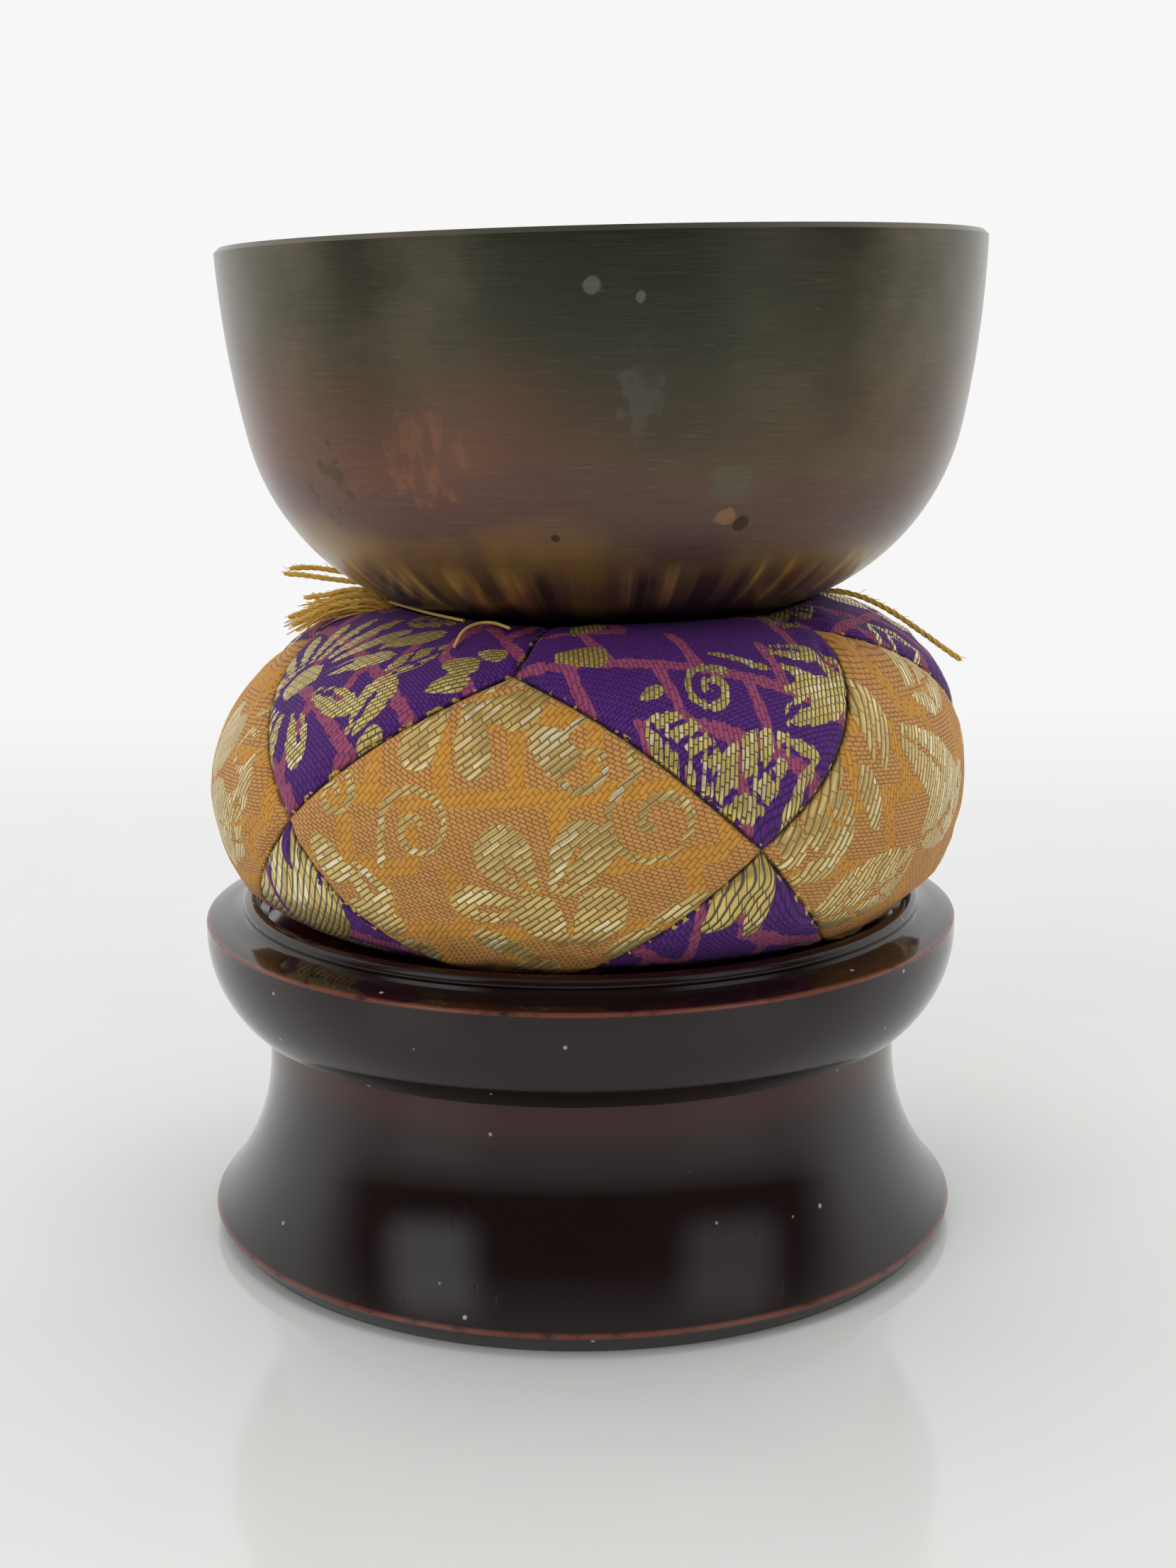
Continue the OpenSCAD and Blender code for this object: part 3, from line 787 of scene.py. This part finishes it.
def welded_faces(index):
    faces = []
    for ids in index.values():
        flat = ids.ravel()
        faces += [without_repeats([int(flat[v]) for v in f]) for f in grid_faces(ids.shape[0] - 1)]
    return [face for face in faces if len(face) > 2]


def vertex_normals(points, index):
    total = np.zeros_like(points)
    for ids in index.values():
        np.add.at(total, ids.ravel(), grid_normals(points[ids]).reshape(-1, 3))
    return total / np.maximum(np.linalg.norm(total, axis=1), 1e-9)[:, None]


SIM_SCALE = 0.01
SIM_FRAMES = 22


def inflate(points, faces, pinned):
    """Blows the sewn cover up between its seams with Cloth, and returns its points at rest."""
    mesh = bpy.data.meshes.new("sim")
    mesh.from_pydata((points * SIM_SCALE).tolist(), [], faces)
    obj = bpy.data.objects.new("sim", mesh)
    bpy.context.scene.collection.objects.link(obj)
    group = obj.vertex_groups.new(name="seams")
    group.add([int(i) for i in pinned], 1.0, "REPLACE")
    cloth = obj.modifiers.new("cloth", "CLOTH")
    st = cloth.settings
    st.quality = 6
    st.mass = 0.25
    st.tension_stiffness = st.compression_stiffness = 18
    st.shear_stiffness = 6
    st.bending_stiffness = 0.6
    st.tension_damping = st.compression_damping = st.shear_damping = 12
    st.air_damping = 4
    st.use_pressure = True
    st.uniform_pressure_force = 5
    st.shrink_min = -0.018
    st.vertex_group_mass = "seams"
    st.pin_stiffness = 1
    st.effector_weights.gravity = 0
    cloth.collision_settings.use_collision = False
    cloth.point_cache.frame_start, cloth.point_cache.frame_end = 1, SIM_FRAMES
    scene = bpy.context.scene
    for f in range(1, SIM_FRAMES + 1):
        scene.frame_set(f)
    shown = obj.evaluated_get(bpy.context.evaluated_depsgraph_get())
    co = np.zeros(len(points) * 3, np.float32)
    shown.data.vertices.foreach_get("co", co)
    bpy.data.objects.remove(obj)
    scene.frame_set(1)
    return co.reshape(-1, 3).astype(float) / SIM_SCALE


def bowl_height(x, y):
    """Height of the bowl's outside over a place on the cushion."""
    lean = math.radians(BOWL_LEAN)
    r = np.hypot((x - BOWL_X) * math.cos(lean), y)
    out = np.clip(r, FLAT_R, 33) - FLAT_R
    z = np.where(r < FLAT_R, 0.0, CORNER_R - np.sqrt(np.maximum(CORNER_R ** 2 - out ** 2, 0)))
    return BOWL_Z + z + (x - BOWL_X) * math.sin(lean)


def pressed(points, yarns):
    """Lowers the cover under the bowl and the yarns, and seats its foot in the dish."""
    p = points.reshape(-1, 3).copy()
    up = p[:, 2] > 55
    r = np.hypot(p[:, 0] - BOWL_X, p[:, 1])
    deep = 1.15 - 0.85 * np.clip((r - 15.5) / 4.5, 0, 1)
    room = bowl_height(p[:, 0], p[:, 1]) - deep
    over = p[:, 2] - room
    soft = 0.5
    drop = np.where(over > -soft, np.where(over < soft, (over + soft) ** 2 / (4 * soft), over), 0)
    p[:, 2] -= np.where(up & (r < 29), drop, 0)
    near = np.where(up)[0]
    for part in np.array_split(near, 24):
        flat = np.linalg.norm(p[part, None, :2] - yarns[None, :, :2], axis=2)
        round_ = np.sqrt(np.maximum(YARN_R ** 2 - np.minimum(flat, YARN_R) ** 2, 0))
        ceiling = yarns[None, :, 2] - 0.36 - round_ * 0.2
        reach = flat < 0.75
        top = np.where(reach, ceiling + 0.55 * np.maximum(flat - 0.4, 0), 1e9).min(1)
        p[part, 2] = np.minimum(p[part, 2], top)
    swell = np.clip((42 - p[:, 2]) / 6, 0, 1) * np.clip((p[:, 2] - 32.5) / 1.0, 0.3, 1)
    ring = np.hypot(p[:, 0], p[:, 1])
    p[:, :2] *= (1 + np.where(ring > 22, 0.9 * swell, 0) / np.maximum(ring, 1e-6))[:, None]
    low = p[:, 2] < 36
    p[:, 2] = np.where(low, np.maximum(p[:, 2], 32.4), p[:, 2])
    ring = np.hypot(p[:, 0], p[:, 1])
    limit = 32.7 + np.clip((p[:, 2] - 34.5) / 0.9, 0, 6)
    pull = np.where((p[:, 2] < 38) & (ring > limit), limit / np.maximum(ring, 1e-6), 1)
    p[:, :2] *= pull[:, None]
    return p.reshape(points.shape)


def upsampler(n, k):
    """A matrix that takes n + 1 points to n * k + 1 points of a Catmull-Rom curve."""
    m = np.zeros((n * k + 1, n + 1))
    for q in range(n * k + 1):
        i = min(q // k, n - 1)
        t = q / k - i
        w = [(-t + 2 * t * t - t ** 3) / 2, (2 - 5 * t * t + 3 * t ** 3) / 2,
             (t + 4 * t * t - 3 * t ** 3) / 2, (t ** 3 - t * t) / 2]
        for off, weight in zip((-1, 0, 1, 2), w):
            j = i + off
            if j < 0:
                m[q, 0] += 2 * weight
                m[q, 1] -= weight
            elif j > n:
                m[q, n] += 2 * weight
                m[q, n - 1] -= weight
            else:
                m[q, j] += weight
    return m


def edge_distance(p):
    """Distance of each grid point to the patch's edge, and the run along the nearest edge."""
    edges = (p[:, 0], p[:, -1], p[0], p[-1])
    edge = np.vstack(edges)
    run = np.concatenate([run_along(e) for e in edges])
    flat = p.reshape(-1, 3)
    best, where = [], []
    for part in np.array_split(flat, 16):
        d = np.linalg.norm(part[:, None] - edge[None], axis=2)
        k = d.argmin(1)
        best.append(d[np.arange(len(part)), k])
        where.append(run[k])
    return np.concatenate(best).reshape(p.shape[:2]), np.concatenate(where).reshape(p.shape[:2])


# ---------------------------------------------------------------- woven motifs
def local(X, Y, x, y, turn):
    """Places seen from (x, y), along and across the direction turn in degrees."""
    c, s = math.cos(math.radians(turn)), math.sin(math.radians(turn))
    return (X - x) * c + (Y - y) * s, -(X - x) * s + (Y - y) * c


def blade(X, Y, x, y, long, wide, turn):
    """Signed distance, about, to a pointed blade from (x, y) towards turn degrees."""
    a, b = local(X, Y, x, y, turn)
    a = a / long
    half = wide / 2 * np.sin(math.pi * np.clip(a, 0, 1) ** 0.8) ** 0.8
    return np.maximum(np.abs(b) - half, np.maximum(-a, a - 1) * long)


def petal(X, Y, x, y, long, wide, turn, full=0.66):
    """Signed distance, about, to a petal that widens from (x, y) to a round end."""
    a, b = local(X, Y, x, y, turn)
    a = a / long
    inside = np.clip(a, 0, 1)
    end = np.sqrt(np.clip(1 - ((inside - full) / (1 - full)) ** 2, 0, 1))
    rise = 0.3 + 0.7 * np.sin(0.5 * math.pi * inside / full)
    half = wide / 2 * np.where(inside < full, rise, end)
    return np.maximum(np.abs(b) - half, np.maximum(-a, a - 1) * long)


def hub(X, Y, x, y, long, wide, turn):
    """The plain oval middle of a flower; long and wide are half sizes."""
    a, b = local(X, Y, x, y, turn)
    return (np.hypot(a / long, b / wide) - 1) * wide


def ribbed(X, Y, x, y, long, wide, turn, rib=0.7):
    """A petal split by a narrow rib from its base."""
    a, b = local(X, Y, x, y, turn)
    middle = 0.05 * long * np.sin(a / long * math.pi)
    split = np.where(a < rib * long, 0.26 - np.abs(b - middle), -9.0)
    return np.maximum(petal(X, Y, x, y, long, wide, turn), split)


def flower(X, Y, x, y, size, petals, turn, squash=1.0, hub=0.2):
    """A round of petals about a plain hub, with narrow gaps."""
    U, V = X - x, (Y - y) / squash
    d = np.full(X.shape, 9.0)
    for k in range(petals):
        t = turn + 360 * k / petals + 9 * math.sin(2.4 * k + turn)
        long = size * (0.74 + 0.12 * math.sin(1.7 * k + turn))
        out = size * (hub + 0.07)
        cx, cy = out * math.cos(math.radians(t)), out * math.sin(math.radians(t))
        wide = 2 * math.pi * size * 0.74 / petals * 0.86
        d = np.minimum(d, petal(U, V, cx, cy, long, wide, t))
    return np.minimum(d, np.hypot(U, V * 1.25) - size * hub)


def leaf(X, Y, x, y, long, wide, turn, veins=4):
    """A pointed leaf cut by slanting veins."""
    a, b = local(X, Y, x, y, turn)
    step = long / (veins + 1)
    slant = (a - 0.75 * np.abs(b)) / step
    rib = np.abs(b + 0.06 * long * np.sin(a / long * math.pi))
    veined = (a > 0.1 * long) & (a < 0.9 * long)
    cut = np.where(veined, np.abs(slant - np.round(slant)) * step, 9.0)
    gap = np.maximum(0.24 - rib, 0.24 - cut)
    return np.maximum(blade(X, Y, x, y, long, wide, turn), gap)


def scroll(X, Y, x, y, size, turn, hand=1, turns=1.35, width=0.62, tail=0.0):
    """A curling tendril."""
    t = np.linspace(0, 1, 46)
    r = size * (0.16 + 0.84 * t ** 0.9)
    a = np.radians(turn) - hand * 2 * math.pi * turns * (1 - t)
    px, py = x + r * np.cos(a), y + r * np.sin(a)
    if tail:
        ta = math.radians(turn) + hand * math.pi / 2
        px = np.append(px, px[-1] + tail * math.cos(ta + 0.25 * hand))
        py = np.append(py, py[-1] + tail * math.sin(ta + 0.25 * hand))
    d = np.full(X.shape, 9.0)
    for k in range(len(px) - 1):
        ex, ey = px[k + 1] - px[k], py[k + 1] - py[k]
        q = np.clip(((X - px[k]) * ex + (Y - py[k]) * ey) / (ex * ex + ey * ey), 0, 1)
        d = np.minimum(d, np.hypot(X - px[k] - q * ex, Y - py[k] - q * ey))
    return d - width / 2


# The motifs of the patches that show, by kind; each has the place and sizes its function takes.
MOTIFS = {
    "patch_side_1": {
        "petal": [
            (6.6, -7.6, 6, 4.2, 124), (8, -7.6, 6.8, 4.6, 58), (3.8, -9.4, 6.4, 2.2, 153),
            (9.8, -9.2, 6.4, 2.8, 24), (14.4, -5.6, 6.2, 2, 24), (-5.6, 13.6, 6, 3.6, -123),
            (-3.4, 13.8, 6.2, 3.4, -70), (3, 12.2, 5.5, 3.4, -35), (-18.6, 1.4, 5.6, 3, -50),
            (-14.8, -4.8, 6.2, 3, -22), (-12, -9.4, 6, 3.2, -8)],
        "ribbed": [
            (4.2, -2, 7.4, 5.2, 128), (6.4, -2.4, 7.8, 5.4, 62), (3.6, -3.8, 7.4, 3.6, 176),
            (5.5, -10.5, 5.5, 3.5, 200), (-2.8, 14.2, 7, 5.6, 8), (-14.5, -0.6, 6.4, 3.4, -48)],
        "leaf": [
            (13, -11, 7, 4, 40, 3)],
        "scroll": [
            (-7, 3.4, 3.8, 165, 1, 1.3, 0.7, 5), (-16.2, 5.4, 2.3, 60, 1, 1.1, 0.6, 1.5),
            (8.6, 9.6, 4, 30, -1, 1.2, 0.7, 2.5), (15.2, 4.4, 4.5, 150, -1, 1.25, 0.7, 3)],
    },
    "patch_top_5": {
        "hub": [
            (-7.3, -9.5, 2.4, 1.7, 46)],
        "petal": [
            (-5, -7.2, 8.8, 1.9, 48), (-6.2, -6.5, 8.6, 1.8, 68), (-7.6, -6.6, 8, 1.6, 87),
            (-8.6, -7, 7.5, 1.5, 105), (-9.4, -7.8, 7, 1.5, 124), (-9.8, -8.8, 6.5, 1.5, 144),
            (-10, -9.8, 6.5, 1.5, 164), (-9.9, -10.8, 6.5, 1.5, 184),
            (-9.6, -11.8, 6.5, 1.5, 206), (-9, -12.5, 6.5, 1.6, 230), (-8, -12.9, 6.5, 1.6, 254),
            (-6.9, -13.1, 6.2, 1.9, 280), (-0.2, -4.2, 6.8, 2.6, 36), (9.4, -4.9, 4, 2.6, 16),
            (10, -8, 4.2, 2.2, 40), (11.6, -1.9, 3, 2.2, 12), (6.2, -15, 2.8, 2.2, 50)],
        "ribbed": [
            (-4.2, -10.9, 7.6, 2.9, -9), (-5.2, -12.5, 6.6, 2.6, -47),
            (-4.4, -8.7, 8.2, 2.2, 26, 0.4), (4.6, -14.2, 6.6, 4, 84)],
        "leaf": [
            (3.6, -7.6, 7.6, 3, 50, 2), (-2, 1, 9, 4.6, 24, 4)],
    },
    "patch_top_1": {
        "petal": [
            (1.4, -12.4, 4.4, 1.1, -20), (5.4, -13.6, 7, 1, -142), (4.4, -5.4, 5, 1.6, -34),
            (3.8, -8.4, 7.6, 2.3, 6), (-2, -2.8, 6.6, 0.9, -31), (-10.6, -6.6, 2.6, 1.4, 10),
            (-15.5, 1.8, 5, 3.4, -30), (-12.5, 4.8, 4.6, 3, 30)],
        "ribbed": [
            (3.8, -3.2, 6, 2.6, -8), (9.8, -3.4, 5, 3.2, -62), (2.4, -11.2, 8.6, 3.4, 18, 0.5)],
        "leaf": [
            (-10.8, -8.6, 9.2, 4.8, -47, 4), (-5.6, -15.6, 9.2, 4.8, 20, 3),
            (8, 1, 8, 4.4, 60, 3)],
        "scroll": [
            (-3.6, -7.4, 2.6, 80, -1, 1.3, 0.8, 2)],
    },
    "patch_side_2": {
        "petal": [
            (-16, 5.8, 5.5, 2.6, 62), (-10, 3, 6, 2.6, 100), (6, 8, 6, 3, -80)],
        "ribbed": [
            (-4, 11, 12, 6.5, -34), (-8.5, 8.5, 7, 4, 75), (-8, -10, 8, 4.5, -20),
            (14, 6, 7, 4, 30)],
        "leaf": [
            (-20.5, -1.5, 11, 7, 48, 2), (-15.5, -6.5, 15, 7.5, 26, 3), (-2, 1, 14, 7.5, 20, 3),
            (1, 14, 12, 6.5, 8, 3), (8, -4, 11, 6, -42, 3)],
    },
    "patch_side_5": {
        "petal": [
            (17, 2, 4.6, 2.8, 100)],
        "leaf": [
            (12, -4, 9, 6, 66, 3), (-14, 4, 9, 5, 20, 3)],
        "scroll": [
            (14, 8, 3.2, 90, 1, 1.3, 0.6, 2)],
        "flower": [
            (3, 2, 10, 9, 0, 1, 0.16)],
    },
    "patch_bottom_5": {
        "petal": [
            (-9, 14.5, 5.4, 3, 70)],
        "leaf": [
            (6, 2, 9, 5, -20, 4)],
        "flower": [
            (-3, 8, 10.5, 12, 20, 0.9, 0.16)],
    },
    "patch_bottom_1": {
        "petal": [
            (1, 12.5, 5.6, 3.6, 84), (-4, 13, 5, 2.4, 30), (6, 8, 6, 2.8, -20)],
        "leaf": [
            (-10, 4, 9, 5, -30, 4)],
        "flower": [
            (2, -4, 9, 9, 0, 1, 0.16)],
    },
}


def default_motifs(rng):
    """A loose arrangement for a patch that the front view doesn't show."""
    a = float(rng.uniform(0, 360))
    x, y, size = (float(rng.uniform(low, high)) for low, high in ((-5, 5), (-5, 5), (8.5, 10.5)))
    found = {"flower": [(x, y, size, int(rng.integers(8, 13)), a, 1.0, 0.18)],
             "leaf": [], "scroll": [], "petal": []}
    for k in range(3):
        t = math.radians(a + 40 + 120 * k)
        hand, turn = 1 - 2 * (k % 2), a + 75 + 120 * k
        found["leaf"].append((11.5 * math.cos(t), 11.5 * math.sin(t), 8.0, 4.8, turn, 4))
        found["scroll"].append(
            (14 * math.cos(t + 1), 14 * math.sin(t + 1), 3.6, a + 90 * k, hand, 1.3, 0.7, 2.0))
        found["petal"].append((17 * math.cos(t + 2), 17 * math.sin(t + 2), 4.4, 2.8, a + 70 * k))
    return found


def draw_motifs(X, Y, motifs):
    """Signed distance, about, to the nearest of the motifs."""
    shapes = {"flower": flower, "leaf": leaf, "scroll": scroll, "petal": petal, "ribbed": ribbed,
              "hub": hub}
    d = np.full(X.shape, 9.0)
    for kind, rows in motifs.items():
        for values in rows:
            d = np.minimum(d, shapes[kind](X, Y, *values))
    return d


def lattice(X, Y, turn, wide, high, skew, width):
    """Slanted brickwork lines of the ground pattern."""
    U, V = local(X, Y, 0, 0, turn)
    U = U + skew * V
    row = np.floor(V / high)
    level = np.abs(V / high - np.round(V / high)) * high
    shifted = U / wide + 0.5 * (row % 2)
    upright = np.abs(shifted - np.round(shifted)) * wide
    pick = np.sin(12.9 * np.round(shifted) + 78.2 * row) * 43.7
    upright = np.where(pick - np.floor(pick) < 0.25, 9.0, upright)
    bar = np.sin(7.3 * np.round(V / high) + 31.7 * np.floor(U / wide)) * 17.3
    level = np.where(bar - np.floor(bar) < 0.2, 9.0, level)
    return np.minimum(level, upright) - width / 2


# The direction of the gold threads in degrees.
GRAIN = {"patch_side_1": 37, "patch_top_5": 42, "patch_top_1": 70, "patch_side_2": 58,
         "patch_side_5": 62, "patch_bottom_1": 30, "patch_bottom_5": 28}


def cover_patch(name, fine, material, rng):
    """One sewn brocade patch from its fine grid of points."""
    n = fine.shape[0] - 1
    normal = grid_normals(fine)
    dist, run = edge_distance(fine)
    wave = 2 * math.pi * run
    gather = np.sin(wave / 2.3 + 1.2 * np.sin(wave / 9.1)) + 0.6 * np.sin(wave / 1.45 + 2)
    gather *= np.exp(-dist / 1.7)
    ease = 1 - np.exp(-dist / 0.35)
    height = -0.24 * np.exp(-(dist / 0.3) ** 1.2) + 0.075 * gather * ease
    centre = fine[n // 2, n // 2]
    out = normal[n // 2, n // 2]
    turn = math.atan2(centre[0] - 1.0, -centre[1])
    right = np.array([math.cos(turn), math.sin(turn), 0])
    up = np.cross(out, right)
    up /= np.linalg.norm(up)
    X = (fine - centre) @ right * 1.06
    Y = (fine - centre) @ up * 1.06
    gold = draw_motifs(X, Y, MOTIFS.get(name) or default_motifs(rng))
    side = name.startswith("patch_side")
    lines = lattice(X, Y, *((3, 7.2, 6.4, 0.1, 1.6) if side else (-24, 8.6, 6.0, 0.5, 1.25)))
    P, Q = local(X, Y, 0, 0, GRAIN.get(name, float(rng.uniform(-70, 70))))
    height = height + 0.05 * np.clip(-gold / 0.3, 0, 1) * ease
    points = fine + normal * height[..., None]
    faces = grid_faces(n)
    a, b, c = (points.reshape(-1, 3)[faces[n * n // 2 + n // 2][k]] for k in (0, 1, 2))
    if np.cross(b - a, c - b) @ out < 0:
        faces = [f[::-1] for f in faces]
    obj = add_mesh(name, points.reshape(-1, 3), faces, 80)
    mesh = obj.data
    for key, values in (("gold", gold), ("line", lines), ("seam", dist)):
        mark = mesh.attributes.new(key, "FLOAT", "POINT")
        mark.data.foreach_set("value", values.ravel().astype(np.float32))
    vec = np.stack([P, Q, np.zeros_like(P)], -1).reshape(-1).astype(np.float32)
    mesh.attributes.new("grain", "FLOAT_VECTOR", "POINT").data.foreach_set("vector", vec)
    shell = obj.modifiers.new("cloth thickness", "SOLIDIFY")
    shell.thickness, shell.offset = 0.35 * MM, -1
    mesh.materials.append(material)
    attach(obj, "cushion")
    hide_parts(name)


def make_cushion():
    """The 15 patches, inflated as one sewn cover and pressed to rest, and the wadding in them."""
    rng = np.random.default_rng(SEED)
    grids = {name: surface(g[..., 0], g[..., 1]) for name, g in patch_grids().items()}
    points, index = weld(grids)
    faces = welded_faces(index)
    outward = vertex_normals(points, index)
    edges = [e for i in index.values() for e in (i[0], i[-1], i[:, 0], i[:, -1])]
    seams = np.unique(np.concatenate(edges))
    held = np.clip((points[:, 2] - 33) / 7, 0.2, 1)[:, None]
    start = points - 0.6 * held * outward
    start[seams] = points[seams] - (0.55 * held * outward)[seams]
    centre = np.where(np.hypot(points[:, 0] - TIE_X, points[:, 1]) < 5.5)[0]
    pinned = np.union1d(seams, centre)
    rest = inflate(start, faces, pinned)
    moved = rest - start
    far = np.linalg.norm(moved, axis=1)
    rest = start + moved * np.minimum(1, 3.2 / np.maximum(far, 1e-9))[:, None]
    lift = np.clip(((rest - points) * outward).sum(1), -0.35, 0.8)
    share = np.clip((44 - points[:, 2]) / 4, 0, 1)[:, None]
    rest = rest * (1 - share) + (points + outward * lift[:, None]) * share
    yarns = np.vstack([smooth_route(r, 0.5) for r in ROUTES.values()])
    m = upsampler(CELLS, FINER)
    purple = brocade("brocade_purple", (0.115, 0.015, 0.235), (0.022, 0.004, 0.060),
                     (0.40, 0.080, 0.18), (0.15, 0.025, 0.08),
                     (1.0, 0.77, 0.20), (0.50, 0.36, 0.10), 0.45, 0.8)
    orange = brocade("brocade_orange", (0.72, 0.36, 0.10), (0.32, 0.125, 0.03),
                     (0.75, 0.36, 0.055), (0.42, 0.165, 0.022),
                     (0.97, 0.74, 0.24), (0.46, 0.33, 0.11), 0.57, 2.0)
    for name, ids in index.items():
        fine = np.einsum("ai,ijk,bj->abk", m, rest[ids], m)
        cover_patch(name, pressed(fine, yarns), orange if "side" in name else purple, rng)
    core_points = pressed(rest, yarns)
    core_points = core_points - 1.8 * vertex_normals(core_points, index)
    core = add_mesh("wadding", core_points, faces, 80)
    core.data.materials.append(cotton_material())
    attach(core, "cushion")
    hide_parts("cushion_core")


# ---------------------------------------------------------------- tuft
def knot(name, count, reach, thick, z, rise, steps):
    """A knot of arched loops across the tie; each third loop stands a little higher."""
    t = np.linspace(0, math.pi, steps)
    loops = []
    for k in range(count):
        a = 2 * math.pi * k / count
        lift = 0.12 * (k % 3) if rise > 0 else 0
        line = np.stack([TIE_X + reach * np.cos(t) * math.cos(a), reach * np.cos(t) * math.sin(a),
                         z + lift + rise * np.sin(t)], 1)
        loops.append(tube(line, np.full(len(line), thick), 8))
    return add_mesh(name, *joined(loops), smooth_deg=70)


def make_tuft(yarn):
    """The tie through the cushion, with a knot at each end."""
    top = knot("knot_top", 9, 1.75, 0.34, 58.2, 2.0, 14)
    below = knot("knot_below", 5, 1.3, 0.3, 34.4, -1.2, 12)
    line = np.stack([np.full(60, TIE_X), np.zeros(60), np.linspace(34.7, 57.2, 60)], 1)
    tie = add_mesh("tie", *joined(twisted(line, 0.75, 3, 3.0, taper=False)), smooth_deg=70)
    for piece, node in ((top, "tuft_knot"), (below, "tuft_knot_below"), (tie, "tuft_tie")):
        piece.data.materials.append(yarn)
        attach(piece, "cushion")
        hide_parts(node)


# ---------------------------------------------------------------- surroundings
def light(name, at, size, power):
    """A soft area light aimed at the bowl's foot, which shows in no reflection."""
    data = bpy.data.lights.new(name, "AREA")
    data.shape, data.size, data.size_y = "RECTANGLE", size[0], size[1]
    data.energy = power
    obj = bpy.data.objects.new(name, data)
    obj.location = at
    obj.rotation_euler = (Vector((0, 0, 0.05)) - Vector(at)).to_track_quat("-Z", "Y").to_euler()
    obj.visible_glossy = False
    bpy.context.scene.collection.objects.link(obj)


def make_floor():
    """A pale table top that fades out into the room behind the stand."""
    side, back = 2500, 330
    corners = [(-side, -side, 0), (side, -side, 0), (side, back, 0), (-side, back, 0)]
    obj = add_mesh("floor", corners, [[0, 1, 2, 3]])
    m = Surface("floor")
    colour = m.mix(m.noise(m.where(), 60.0), (0.76, 0.77, 0.75), (0.79, 0.80, 0.78))
    m.shade(Base_Color=colour, Roughness=0.09, Specular_IOR_Level=0.45)
    gone = m.ramp(m.parts(m.where())[1], 0.15, 0.32)
    fade = m.node("MixShader", gone, m.bsdf.outputs[0], m.node("BsdfTransparent").outputs[0])
    m.put(m.out.inputs[0], fade.outputs[0])
    obj.data.materials.append(m.mat)


def make_world():
    """A bright room that is darker in front, with two soft windows that the lacquer reflects."""
    world = bpy.data.worlds.new("room")
    bpy.context.scene.world = world
    world.use_nodes = True
    m = Nodes(world.node_tree)
    x, y, z = m.parts(m.where("Generated"))
    total = m.max(m.ramp(y, -0.30, 0.22, (0.06, 0.93)), m.ramp(z, 0.35, 0.95, (0.0, 0.45)))
    azimuth = m.math("ARCTAN2", x, m.mul(y, -1.0))
    tall = m.mul(m.ramp(z, 0.08, 0.34), m.ramp(z, 0.86, 0.56))
    for middle, half, power in ((-0.9, 0.20, 1.15), (0.88, 0.22, 0.7)):
        wide = m.ramp(m.abs(m.sub(azimuth, middle)), half + 0.2, half - 0.1)
        total = m.add(total, m.mul(m.mul(wide, tall), power))
    back = m.node("Background", (1, 1, 1), total)
    m.put(m.node("OutputWorld").inputs[0], back.outputs[0])


make_bowl()
make_stand(lacquer_material())
make_cushion()
make_tuft(YARN)
make_floor()
make_world()
light("key_left", (-0.45, -0.6, 0.7), (0.6, 0.5), 2.0)
light("key_right", (0.5, -0.5, 0.6), (0.6, 0.5), 1.0)
light("top", (0.0, 0.1, 0.9), (0.8, 0.6), 2.4)
bpy.context.scene.view_settings.view_transform = "Standard"
